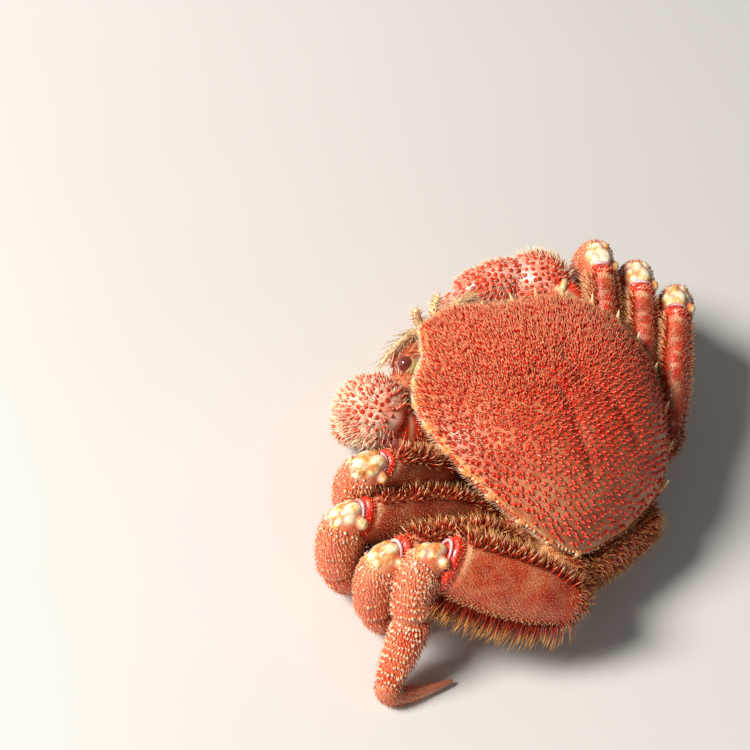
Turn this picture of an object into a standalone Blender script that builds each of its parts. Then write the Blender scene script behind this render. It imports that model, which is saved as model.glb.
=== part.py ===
"""A boiled horsehair crab (hair crab), life size, as a still museum model.

The crab lies on its folded legs. +Y is its front, +X its right side, +Z up, and z = 0 is the floor.
Every place and size below is in metres, most of them written as millimetres times MM.
"""
import math

import bmesh
import bpy
import numpy as np
from mathutils import Matrix, Vector
from mathutils.bvhtree import BVHTree

MM = 0.001
GAP = 0.3 * MM
CUTTER_SWELL = 1.3 * GAP
RNG = np.random.default_rng(7)
SHAPES = {}

# Carapace: half of the outline from the middle of the front round to the middle of the rear
HALF_OUTLINE = [(0, 54.5), (7, 54), (13, 49.5), (20, 43.5), (27, 39.5), (35, 35.5), (43, 28),
                (48.3, 15), (49.5, 2), (47.5, -12), (42, -26), (34, -38), (22, -47), (0, -50)]
MARGIN_FRONT_Z = 36 * MM
MARGIN_MIDDLE_Z = 50.5 * MM
MARGIN_REAR_Z = 32.5 * MM
DOME_RISE = 17 * MM
DOME_POWER = 2.6
WALL_TUCK = 0.76
BODY_SPLIT_Z = 29 * MM
# How far below the floor each leg would reach: this much is cut off, which leaves a flat
FLOOR_FLAT = 0.5 * MM

# Thorax: stations from the mouth to the rear as (y, half width, lowest z) in millimetres
THORAX_STATIONS = [(41, 13, 24), (28, 24, 18), (8, 31, 14), (-14, 33, 13), (-34, 29, 14), (-46, 21, 18)]
COXA_RADII = {1: 6.6, 2: 6.6, 3: 6.6, 4: 6.6, 5: 8.2}
COXA_CENTRES = {1: (27, 23, 24), 2: (33, 6, 23), 3: (34, -11, 22), 4: (30, -27, 22), 5: (23, -38, 22)}

# Legs 2 to 5: merus base, knee, carpus end, propodus end and tip, in millimetres
LEFT, RIGHT = "left", "right"
LEG_JOINTS = {
    (LEFT, 2): [(-45, 5, 33), (-80, 20, 50), (-77, 17, 25), (-58, 11, 8), (-32, 7, 4)],
    (LEFT, 3): [(-46, -9, 29), (-92, 12, 38), (-93, 2, 13), (-62, -8, 8), (-34, -12, 4)],
    (LEFT, 4): [(-43, -25, 27), (-91, -7, 37), (-92, -17, 12), (-62, -26, 8), (-34, -29, 4)],
    (LEFT, 5): [(-39, -58, 29), (-82, -18, 44.5), (-92, -29, 23), (-106, -38, 8), (-79, -50, 4)],
    (RIGHT, 2): [(43, 2, 36), (67, 34, 49), (76, 37, 25), (58, 30, 8), (34, 24, 4)],
    (RIGHT, 3): [(48, -16, 33), (78, 19.5, 46), (88, 21, 21), (66, 12, 8), (38, 8, 4)],
    (RIGHT, 4): [(48, -33, 32), (84, 3.5, 46), (94, 0, 22), (73, -8, 8), (43, -10, 4)],
    (RIGHT, 5): [(29, -40, 20), (60, -2, 19), (63, -17, 9), (46, -31, 8), (22, -38, 4)],
}
# A leg that lies over another is made first, and the one beneath is cut clear of it
LEG_ORDER = {LEFT: (5, 4, 3, 2), RIGHT: (4, 3, 2, 5)}
# How far, in millimetres, the carpus bulges out past the knee
KNEE_OUT = {2: 6, 3: 6, 4: 6, 5: 9}
# Broad and thin half sizes of each segment, and where along it they apply
MERUS_BROAD = {2: 10.0, 3: 10.5, 4: 10.5, 5: 12.3}
MERUS_THIN = 6.3
CARPUS_HALF = (8.8, 7.0)
PROPODUS_HALF = (8.0, 6.6)
DACTYL_HALF = (4.4, 3.8)
MERUS_PROFILE = [(0, 0.40), (0.08, 0.62), (0.3, 0.93), (0.55, 1.0), (0.8, 0.93), (0.93, 0.86), (1, 0.6)]
CARPUS_PROFILE = [(0, 0.55), (0.12, 0.85), (0.35, 1.0), (0.65, 1.02), (0.9, 0.92), (1, 0.6)]
PROPODUS_PROFILE = [(0, 0.5), (0.1, 0.85), (0.35, 1.0), (0.7, 0.9), (0.93, 0.66), (1, 0.4)]
DACTYL_PROFILE = [(0, 0.7), (0.12, 1.0), (0.4, 0.85), (0.7, 0.58), (0.9, 0.34), (1, 0.12)]

# Chelipeds: merus base, elbow, carpus centre, palm root, palm end, finger tip, in millimetres
ARM_JOINTS = {
    LEFT: [(-29, 25, 29), (-46, 32, 30), (-51.5, 41.5, 34), (-47, 43.5, 23), (-35, 46, 10.5), (-15, 47, 6)],
    RIGHT: [(29, 26, 29), (58, 36, 37), (49, 44, 35), (43, 51, 34), (23, 58, 25), (11, 54, 11)],
}
ARM_MERUS_HALF = (9.0, 8.0)
ARM_CARPUS_HALF = (12.6, 12.0)
PALM_HALF = (11.5, 8.6)
FINGER_HALF = (4.6, 4.2)
ARM_MERUS_PROFILE = [(0, 0.5), (0.15, 0.8), (0.5, 0.95), (0.85, 1.0), (1, 0.7)]
ARM_CARPUS_PROFILE = [(0, 0.35), (0.12, 0.68), (0.35, 0.95), (0.6, 0.98), (0.87, 0.7), (1, 0.4)]
PALM_PROFILE = [(0, 0.5), (0.1, 0.8), (0.35, 1.0), (0.7, 0.98), (0.92, 0.78), (1, 0.5)]
FINGER_PROFILE = [(0, 0.8), (0.25, 1.0), (0.6, 0.75), (0.88, 0.42), (1, 0.15)]

# Head
EYE_CENTRE = {"left": (26.0, 46.5, 37.0), "right": (24.0, 43.5, 33.0)}
EYE_RADIUS = 2.9 * MM
STALK_ROOT = (18.5, 40.0, 34.0)
STALK_HALF = (3.0, 2.6)
ANTENNA_PATH = [(7, 50, 30.5), (8.5, 54.5, 32.5), (16, 55, 34.5), (26, 53.6, 35), (33.5, 51.5, 33.5)]
ANTENNA_HALF = (1.9, 1.9)
ANTENNULE_PATH = [(3.5, 51, 30), (4.5, 58, 33), (6.5, 61, 39)]
ANTENNULE_HALF = (1.5, 1.5)
MAXILLIPED_PATH = [(5.5, 30, 15.5), (6.0, 42, 18.5), (5.5, 51, 26)]
MAXILLIPED_HALF = (5.0, 2.6)

# Abdomen, folded under the body: centre line from under the rear margin to the tip, and half widths
ABDOMEN_LINE = [(-46.5, 28), (-53, 26), (-55.5, 20), (-51, 14), (-38, 10.5), (-18, 9.8), (-2, 10.5)]
ABDOMEN_HALF_WIDTHS = [21, 20.5, 19, 15, 10.5, 7.5, 4]
ABDOMEN_THICK = 3.4 * MM

# Spines: how deep the root is sunk, the clear space to other nodes, and the lowest tip, in metres
SPINE_SINK = 1.1 * MM
SPINE_CLEAR = 1.0 * MM
TIP_CLEAR = 1.5 * MM
FLOOR_CLEAR = 0.6 * MM
SURFACE_REACH = 1.1 * MM
# Shares of a spine's length where its clearance is tested
SPINE_STATIONS = (0.1, 0.4, 0.7, 1.0)
# Spines of the back in rings: share of the way to the margin and how many
BACK_RINGS = [(0.1, 4), (0.26, 9), (0.42, 14), (0.57, 19), (0.72, 24), (0.86, 28)]
BACK_SPINE = (3.4, 0.85)
# Teeth of the margin: place along the half outline (0 middle of the front, 1 middle of the rear), length
MARGIN_TEETH = [(0.035, 4.6), (0.125, 3.6), (0.215, 4.0), (0.31, 5.0), (0.39, 5.4), (0.455, 5.2), (0.515, 4.8),
                (0.575, 4.4), (0.635, 3.8), (0.70, 3.4), (0.77, 3.2), (0.84, 3.0), (0.91, 3.0)]
TOOTH_RADIUS = 1.9
# Spine rows of the limbs: turns round the segment, stations along it, spines a row, length and radius
LIMB_ROWS = {
    "merus": [((0.0, 0.5), (0.16, 0.9), 6, 5.0, 0.95)],
    "carpus": [((0.02, 0.2, 0.38, 0.56), (0.3, 0.86), 3, 3.6, 0.95)],
    "propodus": [((0.0, 0.25, 0.5), (0.2, 0.88), 3, 3.4, 0.9)],
}
ARM_ROWS = {
    "merus": [((0.0, 0.5), (0.35, 0.85), 3, 3.6, 0.9)],
    "carpus": [((0.0, 0.17, 0.34, 0.5, 0.67, 0.84), (0.22, 0.82), 4, 3.6, 0.95)],
    "palm": [((0.0, 0.12, 0.25, 0.38, 0.5), (0.2, 0.85), 4, 3.2, 0.9)],
}
ABDOMEN_SPINES = [(0.03, 7), (0.17, 7)]

SHELL_RED = (0.62, 0.10, 0.04)
SHELL_PALE = (0.80, 0.40, 0.22)
EYE_BROWN = (0.10, 0.02, 0.015)


def clear_scene():
    for obj in list(bpy.data.objects):
        bpy.data.objects.remove(obj, do_unlink=True)


def new_collection(name):
    made = bpy.data.collections.new(name)
    bpy.context.scene.collection.children.link(made)
    return made


clear_scene()
CRAB = new_collection("horsehair_crab")
CUTTERS = new_collection("cutters")
FORMS = {}


def material(name, colour, roughness):
    made = bpy.data.materials.new(name)
    made.use_nodes = True
    shader = made.node_tree.nodes["Principled BSDF"]
    shader.inputs["Base Color"].default_value = (*colour, 1)
    shader.inputs["Roughness"].default_value = roughness
    shader.inputs["Metallic"].default_value = 0
    return made


def mesh_object(name, bm, collection=CRAB, finish=None):
    """Turns a bmesh into an object with its faces pointing out."""
    bmesh.ops.recalc_face_normals(bm, faces=bm.faces)
    mesh = bpy.data.meshes.new(name)
    bm.to_mesh(mesh)
    bm.free()
    obj = bpy.data.objects.new(name, mesh)
    collection.objects.link(obj)
    if finish:
        mesh.materials.append(finish)
        add_cutter(obj, name)
    return obj


def add_cutter(obj, owner):
    """Keeps a copy of a closed form, swollen by the gap, to cut that node's neighbours with."""
    bm = bmesh.new()
    bm.from_mesh(obj.data)
    bm.normal_update()
    normals = [vert.normal.copy() for vert in bm.verts]
    for vert, normal in zip(bm.verts, normals):
        vert.co += normal * CUTTER_SWELL
    cutter = mesh_object(owner + "_cutter", bm, CUTTERS)
    cutter.hide_render = True
    cutter.display_type = "WIRE"
    FORMS.setdefault(owner, []).append(cutter)


def curve_points(points, count):
    """Points spaced evenly in parameter along a smooth curve through the given points (Catmull-Rom)."""
    p = np.asarray(points, float)
    p = np.vstack([2 * p[0] - p[1], p, 2 * p[-1] - p[-2]])
    spans = len(p) - 3
    made = []
    for u in np.linspace(0, spans, count):
        i = min(int(u), spans - 1)
        t = u - i
        a, b, c, d = p[i:i + 4]
        made.append(0.5 * (2 * b + (c - a) * t + (2 * a - 5 * b + 4 * c - d) * t * t
                           + (3 * b - a - 3 * c + d) * t ** 3))
    return np.array(made)


def bezier(a, b, c, t):
    return (1 - t) ** 2 * a + 2 * t * (1 - t) * b + t * t * c


def loft(rings):
    """A closed skin through rings of equal point counts, with flat ends."""
    bm = bmesh.new()
    rows = [[bm.verts.new(point) for point in ring] for ring in rings]
    count = len(rows[0])
    for near, far in zip(rows, rows[1:]):
        for i in range(count):
            j = (i + 1) % count
            bm.faces.new((near[i], near[j], far[j], far[i]))
    bm.faces.new(rows[0][::-1])
    bm.faces.new(rows[-1])
    bmesh.ops.triangulate(bm, faces=bm.faces)
    return bm


def segment_rings(line, half, profile, thin_way, sides=10):
    """Oval rings along a curved centre line: half = (broad, thin) half sizes, thin_way the thin direction."""
    stations = np.array([at for at, _ in profile])
    swell = np.array([size for _, size in profile])
    steps = np.linspace(0, 1, len(line))
    centres = np.array([[np.interp(s, steps, line[:, k]) for k in range(3)] for s in stations])
    tangents = np.gradient(line, axis=0)
    rings = []
    for s, size, centre in zip(stations, swell, centres):
        along = np.array([np.interp(s, steps, tangents[:, k]) for k in range(3)])
        along /= np.linalg.norm(along)
        thin = thin_way - along * (thin_way @ along)
        thin /= np.linalg.norm(thin)
        broad = np.cross(along, thin)
        turn = np.arange(sides) * 2 * math.pi / sides
        ring = [centre + size * (half[0] * math.cos(a) * broad + half[1] * math.sin(a) * thin) for a in turn]
        rings.append(np.array(ring))
    return rings


def segment(name, line, half, profile, thin_way, finish, sides=10):
    half = (half[0] * MM, half[1] * MM)
    SHAPES[name] = (line, half, profile, thin_way)
    return mesh_object(name, loft(segment_rings(line, half, profile, thin_way, sides)), finish=finish)


def evaluated_mesh(obj):
    graph = bpy.context.evaluated_depsgraph_get()
    return bpy.data.meshes.new_from_object(obj.evaluated_get(graph))


def keep_largest(obj):
    """Keeps the closed surface with the most volume."""
    bm = bmesh.new()
    bm.from_mesh(obj.data)
    bmesh.ops.triangulate(bm, faces=bm.faces)
    unseen = set(bm.verts)
    shells = []
    while unseen:
        stack = [unseen.pop()]
        shell = set(stack)
        while stack:
            for edge in stack.pop().link_edges:
                for vert in edge.verts:
                    if vert in unseen:
                        unseen.discard(vert)
                        shell.add(vert)
                        stack.append(vert)
        faces = {face for vert in shell for face in vert.link_faces}
        volume = sum(f.verts[0].co.dot(f.verts[1].co.cross(f.verts[2].co)) / 6 for f in faces)
        shells.append((volume, len(shells), shell))
    shells.sort(key=lambda entry: -entry[0])
    spare = [vert for _, _, shell in shells[1:] for vert in shell]
    bmesh.ops.delete(bm, geom=spare, context="VERTS")
    bm.to_mesh(obj.data)
    bm.free()


def merge_flat_faces(obj):
    """Joins the coplanar scraps that a Boolean leaves, then splits the faces into triangles again."""
    bm = bmesh.new()
    bm.from_mesh(obj.data)
    bmesh.ops.remove_doubles(bm, verts=bm.verts, dist=0.01 * MM)
    bmesh.ops.dissolve_limit(bm, angle_limit=math.radians(0.2), verts=bm.verts, edges=bm.edges)
    bmesh.ops.triangulate(bm, faces=bm.faces)
    if all(edge.is_manifold for edge in bm.edges):
        bm.to_mesh(obj.data)
    bm.free()


def boolean(obj, pieces, operation, solver="EXACT"):
    """One Boolean of obj with closed mesh objects, applied; the pieces are then removed."""
    group = new_collection("operands")
    for piece in pieces:
        for holder in list(piece.users_collection):
            holder.objects.unlink(piece)
        group.objects.link(piece)
    modifier = obj.modifiers.new("join", "BOOLEAN")
    modifier.operation = operation
    modifier.operand_type = "COLLECTION"
    modifier.collection = group
    modifier.solver = solver
    made = evaluated_mesh(obj)
    obj.modifiers.clear()
    obj.data = made
    for piece in pieces:
        bpy.data.objects.remove(piece, do_unlink=True)
    bpy.data.collections.remove(group)
    keep_largest(obj)
    merge_flat_faces(obj)


def copy_of(obj):
    made = bpy.data.objects.new(obj.name + "_copy", obj.data.copy())
    CUTTERS.objects.link(made)
    return made


def boxes_touch(a, b, reach=GAP):
    pa = np.array([v.co for v in a.data.vertices])
    pb = np.array([v.co for v in b.data.vertices])
    return bool(np.all(pa.min(0) - reach < pb.max(0)) and np.all(pb.min(0) - reach < pa.max(0)))


def surfaces_touch(a, b):
    graph = bpy.context.evaluated_depsgraph_get()
    tree_a = BVHTree.FromObject(a, graph)
    tree_b = BVHTree.FromObject(b, graph)
    return bool(tree_a.overlap(tree_b))


def cut_clear(obj, others):
    """Cuts obj back from the nodes it would cross, leaving the gap."""
    bpy.context.view_layer.update()
    forms = [form for other in others for form in FORMS[other.name]]
    crossing = [form for form in forms if boxes_touch(obj, form) and surfaces_touch(obj, form)]
    if crossing:
        boolean(obj, [copy_of(form) for form in crossing], "DIFFERENCE")


def cut_by_floor(obj):
    """Cuts off what would reach below the floor, which leaves a small flat at z = 0."""
    lowest = min(vert.co.z for vert in obj.data.vertices)
    if lowest >= 0:
        return
    bm = bmesh.new()
    bmesh.ops.create_cube(bm, size=0.5)
    bmesh.ops.translate(bm, verts=bm.verts, vec=(0, 0, -0.25))
    boolean(obj, [mesh_object("floor_cutter", bm, CUTTERS)], "DIFFERENCE")


def full_outline(count):
    """The carapace outline, anticlockwise seen from above, starting at the middle of the front."""
    half = curve_points(HALF_OUTLINE, count // 2 + 1)
    half[0, 0] = 0
    half[-1, 0] = 0
    left = half * [-1, 1]
    return np.vstack([left[:-1], half[::-1][:-1]]) * MM


def margin_height(y):
    """Height of the carapace margin: a low front and rear, a high middle."""
    front, rear = HALF_OUTLINE[0][1] * MM - 2.5 * MM, HALF_OUTLINE[-1][1] * MM
    t = (y - front) / (rear - front)
    return (MARGIN_FRONT_Z * 2 * (t - 0.5) * (t - 1) + MARGIN_MIDDLE_Z * 4 * t * (1 - t)
            + MARGIN_REAR_Z * 2 * t * (t - 0.5))


def dome_height(share, margin_z):
    """Height of the back at a share of the way from its middle (0) to the margin (1)."""
    rise = DOME_RISE * (1 - share ** DOME_POWER) ** 0.75
    return MARGIN_MIDDLE_Z + (margin_z - MARGIN_MIDDLE_Z) * share ** 1.8 + rise


def build_carapace(finish):
    outline = full_outline(42)
    margin = margin_height(outline[:, 1])
    rings = []
    for share in (0.06, 0.3, 0.52, 0.72, 0.87, 0.96, 1.0):
        rings.append(np.column_stack([outline * share, dome_height(share, margin)]))
    under = outline * 0.975
    rings.append(np.column_stack([under, margin - 3.0 * MM]))
    lower = np.column_stack([outline * 0.86, BODY_SPLIT_Z + (margin - BODY_SPLIT_Z) * 0.45])
    rings.append(lower)
    rings.append(np.column_stack([outline * WALL_TUCK, np.full(len(outline), BODY_SPLIT_Z)]))
    return mesh_object("carapace", loft(rings), finish=finish)


def build_thorax(finish):
    top = BODY_SPLIT_Z - 1.3 * GAP
    rings = []
    for y, half_width, low in THORAX_STATIONS:
        turn = np.linspace(math.pi, 2 * math.pi, 8)
        x = half_width * MM * np.cos(turn)
        depth = (top - low * MM) * np.abs(np.sin(turn)) ** 0.8
        ring = np.column_stack([x, np.full(8, y * MM), top - 1.5 * MM - depth * 0.9])
        cap = [(half_width * MM * 0.96, y * MM, top), (-half_width * MM * 0.96, y * MM, top)]
        rings.append(np.vstack([ring, cap]))
    thorax = mesh_object("thorax", loft(rings), finish=finish)
    coxae = []
    for side in (LEFT, RIGHT):
        sign = -1 if side == LEFT else 1
        for number, centre in COXA_CENTRES.items():
            at = np.array(centre) * MM * [sign, 1, 1]
            base = ARM_JOINTS[side][0] if number == 1 else LEG_JOINTS[side, number][0]
            toward = np.array(base) * MM - at
            reach = np.linalg.norm(toward)
            toward /= reach
            start = at - toward * 6 * MM
            end = at + toward * max(reach - 3 * MM, 4 * MM)
            line = np.linspace(start, end, 5)
            profile = [(0, 0.8), (0.65, 1), (1, 0.72)]
            radius = COXA_RADII[number] * MM
            rings = segment_rings(line, (radius, radius), profile, np.array([0, 1, 0.1]), 7)
            coxa = mesh_object("coxa", loft(rings), CUTTERS)
            add_cutter(coxa, "thorax")
            coxae.append(coxa)
    boolean(thorax, coxae, "UNION")
    return thorax


def build_abdomen(finish):
    line = np.array([(0, y, z) for y, z in ABDOMEN_LINE], float)
    centres = curve_points(line, 13) * MM
    halves = np.interp(np.linspace(0, 1, 13), np.linspace(0, 1, len(ABDOMEN_HALF_WIDTHS)), ABDOMEN_HALF_WIDTHS)
    tangents = np.gradient(centres, axis=0)
    rings = []
    for centre, half, along in zip(centres, halves * MM, tangents):
        along = along / np.linalg.norm(along)
        out = np.cross(along, [1, 0, 0])
        ring = []
        for x, rise in ((-1, 0), (-0.75, 0.75), (0, 1), (0.75, 0.75), (1, 0), (0.75, -0.75), (0, -0.8), (-0.75, -0.75)):
            ring.append(centre + np.array([x * half, 0, 0]) + out * rise * ABDOMEN_THICK / 2)
        rings.append(np.array(ring))
    return mesh_object("abdomen", loft(rings), finish=finish)


def points_mm(points, sign=1):
    return np.array(points, float) * MM * [sign, 1, 1]


def head_tube(name, path, half, sign, finish, profile, sides=8, thin_way=(0, 0, 1)):
    line = curve_points(points_mm(path, sign), 17)
    return segment(name, line, half, profile, np.array(thin_way, float), finish, sides)


def build_eye(side, sign, finish):
    bm = bmesh.new()
    bmesh.ops.create_uvsphere(bm, u_segments=10, v_segments=7, radius=EYE_RADIUS)
    bmesh.ops.triangulate(bm, faces=bm.faces)
    bmesh.ops.translate(bm, verts=bm.verts, vec=Vector(points_mm(EYE_CENTRE[side], sign)))
    return mesh_object("eye_" + side, bm, finish=finish)


def bent_line(start, corner, end, count=17):
    t = np.linspace(0, 1, count)[:, None]
    return bezier(start, corner, end, t)


def unit(v):
    return v / np.linalg.norm(v)


def dactyl_line(wrist, along, tip):
    """The last segment goes on from the propodus in a bend, or folds straight back where it turns sharply."""
    back = unit(tip - wrist)
    if along @ back < -0.4:
        return np.linspace(wrist + along * 2 * MM - back * 2 * MM, tip, 17)
    return bent_line(wrist - along * 4 * MM, wrist + along * 9 * MM, tip)


def leg_lines(joints, number):
    """Centre lines and the thin direction of a leg's four segments."""
    base, knee, heel, wrist, tip = joints
    m, c, p = unit(knee - base), unit(heel - knee), unit(wrist - heel)
    thin = unit(np.cross(m, c))
    merus = bent_line(base - m * 5 * MM, (base + knee) / 2, knee - m * 2 * MM)
    carpus = bent_line(knee - m * 5 * MM, knee + m * KNEE_OUT[number] * MM - c * 1 * MM, heel)
    propodus = bent_line(heel - c * 5 * MM, heel + c * 3 * MM, wrist)
    return thin, (merus, carpus, propodus, dactyl_line(wrist, p, tip))


def settled_joints(side, number):
    """The leg's joints, with its far end lowered until the leg would reach just below the floor."""
    joints = points_mm(LEG_JOINTS[side, number])
    for _ in range(8):
        thin, (_, _, propodus, dactyl) = leg_lines(joints, number)
        rings = segment_rings(propodus, np.array(PROPODUS_HALF) * MM, PROPODUS_PROFILE, thin)
        rings += segment_rings(dactyl, np.array(DACTYL_HALF) * MM, DACTYL_PROFILE, thin, 8)
        joints[3:, 2] -= np.vstack(rings)[:, 2].min() + FLOOR_FLAT
    return joints


def build_leg(side, number, shell):
    thin, (merus, carpus, propodus, dactyl) = leg_lines(settled_joints(side, number), number)
    stem = "leg" + str(number) + "_"
    half = (MERUS_BROAD[number], MERUS_THIN)
    return [
        segment(stem + "merus_" + side, merus, half, MERUS_PROFILE, thin, shell),
        segment(stem + "carpus_" + side, carpus, CARPUS_HALF, CARPUS_PROFILE, thin, shell),
        segment(stem + "propodus_" + side, propodus, PROPODUS_HALF, PROPODUS_PROFILE, thin, shell),
        segment(stem + "dactyl_" + side, dactyl, DACTYL_HALF, DACTYL_PROFILE, thin, shell, 8),
    ]


def build_arm(side, shell):
    """A cheliped: merus, round carpus, palm with its fixed finger, and the moving finger."""
    base, elbow, centre, root, end, tip = points_mm(ARM_JOINTS[side])
    sign = -1 if side == LEFT else 1
    arm, hand = unit(elbow - base), unit(end - root)
    thin = unit(np.cross(hand, [0, 0, 1.0]))
    merus = np.linspace(base - arm * 3 * MM, elbow, 9)
    across = unit(root - elbow)
    reach = 1.05 * ARM_CARPUS_HALF[0] * MM
    carpus = np.linspace(centre - across * reach, centre + across * reach, 9)
    palm = bent_line(root - hand * 5 * MM, (root + end) / 2, end)
    upper = np.cross(thin, hand)
    upper = upper if upper[2] > 0 else -upper
    low_root, high_root = end - upper * 4.4 * MM, end + upper * 4.6 * MM
    fixed = bent_line(low_root - hand * 7 * MM, (low_root + tip) / 2 - upper * 2 * MM, tip - upper * 2.6 * MM)
    moving = bent_line(high_root - hand * 1 * MM, (high_root + tip) / 2 + upper * 4 * MM, tip + upper * 2.4 * MM)
    made = [
        segment("cheliped_merus_" + side, merus, ARM_MERUS_HALF, ARM_MERUS_PROFILE, thin, shell),
        segment("cheliped_carpus_" + side, carpus, ARM_CARPUS_HALF, ARM_CARPUS_PROFILE, thin, shell, 12),
        segment("cheliped_palm_" + side, palm, PALM_HALF, PALM_PROFILE, thin, shell, 12),
        segment("cheliped_finger_" + side, moving, FINGER_HALF, FINGER_PROFILE, thin, shell, 8),
    ]
    fixed_half = (FINGER_HALF[0] * MM, FINGER_HALF[1] * MM)
    finger = mesh_object("fixed_finger", loft(segment_rings(fixed, fixed_half, FINGER_PROFILE, thin, 8)), CUTTERS)
    add_cutter(finger, made[2].name)
    boolean(made[2], [finger], "UNION")
    return made


def build_crab():
    shell = material("shell", SHELL_RED, 0.45)
    pale = material("pale_shell", SHELL_PALE, 0.5)
    brown = material("eye", EYE_BROWN, 0.12)
    nodes = [build_carapace(shell)]
    new = [build_thorax(pale), build_abdomen(pale)]
    tube = [(0, 1.0), (0.3, 0.95), (0.6, 0.6), (0.85, 0.36), (1, 0.18)]
    plate = [(0, 0.7), (0.2, 1), (0.7, 1), (1, 0.6)]
    stalk = [(0, 1.1), (0.35, 0.85), (0.8, 0.9), (1, 0.8)]
    for side, sign in ((LEFT, -1), (RIGHT, 1)):
        new.append(build_eye(side, sign, brown))
        new.append(head_tube("eyestalk_" + side, [STALK_ROOT, EYE_CENTRE[side]], STALK_HALF, sign, pale, stalk))
        new.append(head_tube("antenna_" + side, ANTENNA_PATH, ANTENNA_HALF, sign, pale, tube, 6))
        new.append(head_tube("antennule_" + side, ANTENNULE_PATH, ANTENNULE_HALF, sign, pale, tube, 6))
        new.append(head_tube("maxilliped_" + side, MAXILLIPED_PATH, MAXILLIPED_HALF, sign, pale, plate, 8, (0, -1, 1)))
    for side in (LEFT, RIGHT):
        new += build_arm(side, shell)
        for number in LEG_ORDER[side]:
            new += build_leg(side, number, shell)
    for node in new:
        cut_clear(node, nodes)
        cut_by_floor(node)
        nodes.append(node)
    return nodes


def cone(root, along, length, radius):
    """A four-sided spine with its root sunk below the surface."""
    side = unit(np.cross(along, [0.31, 0.17, 0.94]))
    other = np.cross(along, side)
    bm = bmesh.new()
    base = root - along * SPINE_SINK
    turns = [math.pi / 2 * k for k in range(4)]
    ring = [bm.verts.new(base + radius * (math.cos(t) * side + math.sin(t) * other)) for t in turns]
    tip = bm.verts.new(root + along * length)
    for i in range(4):
        bm.faces.new((ring[i], ring[(i + 1) % 4], tip))
    bm.faces.new(ring[::-1])
    bmesh.ops.triangulate(bm, faces=bm.faces)
    return mesh_object("spine", bm, CUTTERS)


def jitter(size):
    return RNG.uniform(-size, size)


def limb_spines(name, rows):
    """Roots, directions and sizes of the spines on one limb segment, leaning towards its far end."""
    line, half, profile, thin_way = SHAPES[name]
    wished = []
    for turns, (first, last), count, length, radius in rows:
        for k, turn in enumerate(turns):
            for i in range(count):
                at = first + (last - first) * (i + 0.5 * (k % 2) + 0.25 + jitter(0.15)) / count
                size = np.interp(at, [p[0] for p in profile], [p[1] for p in profile])
                before, ring = segment_rings(line, half, [(at - 0.02, size), (at, size)], thin_way, 48)
                point = ring[int(round((turn + jitter(0.012)) * 48)) % 48]
                along = unit(ring.mean(0) - before.mean(0))
                out = unit(point - ring.mean(0))
                wished.append((point, unit(out + along * 0.35), length * (1 + jitter(0.18)), radius))
    return wished


def back_point(share, turn):
    outline = full_outline(240)
    rim = outline[int(round(turn * 240)) % 240]
    return np.array([rim[0] * share, rim[1] * share, dome_height(share, margin_height(rim[1]))])


def back_spines():
    """Spines over the back, leaning out and forward."""
    wished = []
    for ring, (share, count) in enumerate(BACK_RINGS):
        for i in range(count):
            turn = (i + 0.5 * (ring % 2) + jitter(0.2)) / count
            here = share + jitter(0.025)
            point = back_point(here, turn)
            across = back_point(here, turn + 0.02) - point
            outward = back_point(here + 0.03, turn) - point
            normal = unit(np.cross(outward, across))
            normal = normal if normal[2] > 0 else -normal
            lean = normal + 0.25 * unit(outward) + np.array([0, 0.15, 0])
            wished.append((point, unit(lean), BACK_SPINE[0] * (1 + jitter(0.15)), BACK_SPINE[1]))
    return wished


def margin_teeth():
    """Teeth along the margin from the front round to the rear, on both sides."""
    half = curve_points(HALF_OUTLINE, 201) * MM
    wished = []
    for sign in (-1, 1):
        for at, length in MARGIN_TEETH:
            i = int(round(at * 200))
            here, ahead, behind = half[i], half[i - 1], half[i + 1]
            along = unit(np.append(ahead - behind, 0))
            out = np.array([-along[1], along[0], 0])
            out = out if out[:2] @ here > 0 else -out
            lean = unit(out + 0.45 * along + np.array([0, 0, 0.12]))
            point = np.array([here[0], here[1], margin_height(here[1]) - 1.0 * MM])
            wished.append((point * [sign, 1, 1], lean * [sign, 1, 1], length, TOOTH_RADIUS))
    return wished


def abdomen_spines():
    """Two rows across the first segments, which show behind the carapace."""
    line = curve_points([(0, y, z) for y, z in ABDOMEN_LINE], 101) * MM
    wished = []
    for at, count in ABDOMEN_SPINES:
        i = int(round(at * 100))
        along = unit(line[i + 1] - line[i])
        out = np.cross(along, [1, 0, 0])
        out = out if out[1] < 0 or out[2] > 0 else -out
        width = np.interp(at, np.linspace(0, 1, len(ABDOMEN_HALF_WIDTHS)), ABDOMEN_HALF_WIDTHS) * MM
        for k in range(count):
            x = width * 0.88 * (2 * k / (count - 1) - 1)
            point = line[i] + out * ABDOMEN_THICK / 2 + np.array([x, 0, 0])
            wished.append((point, unit(out + np.array([0.5 * x / width, 0, 0])), 3.0, 0.9))
    return wished


def wished_spines():
    """Every spine by the node that it stands on."""
    wished = {"carapace": margin_teeth() + back_spines(), "abdomen": abdomen_spines()}
    for side in (LEFT, RIGHT):
        for number in (2, 3, 4, 5):
            for part, rows in LIMB_ROWS.items():
                name = "leg" + str(number) + "_" + part + "_" + side
                wished[name] = limb_spines(name, rows)
        for part, rows in ARM_ROWS.items():
            name = "cheliped_" + part + "_" + side
            wished[name] = limb_spines(name, rows)
    return wished


def all_surfaces(nodes):
    """One tree of every node's triangles, and which node each triangle belongs to."""
    points, faces, owners = [], [], []
    for node in nodes:
        node.data.calc_loop_triangles()
        start = len(points)
        points += [v.co.copy() for v in node.data.vertices]
        faces += [tuple(start + v for v in t.vertices) for t in node.data.loop_triangles]
        owners += [node.name] * len(node.data.loop_triangles)
    return BVHTree.FromPolygons(points, faces), owners


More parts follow.
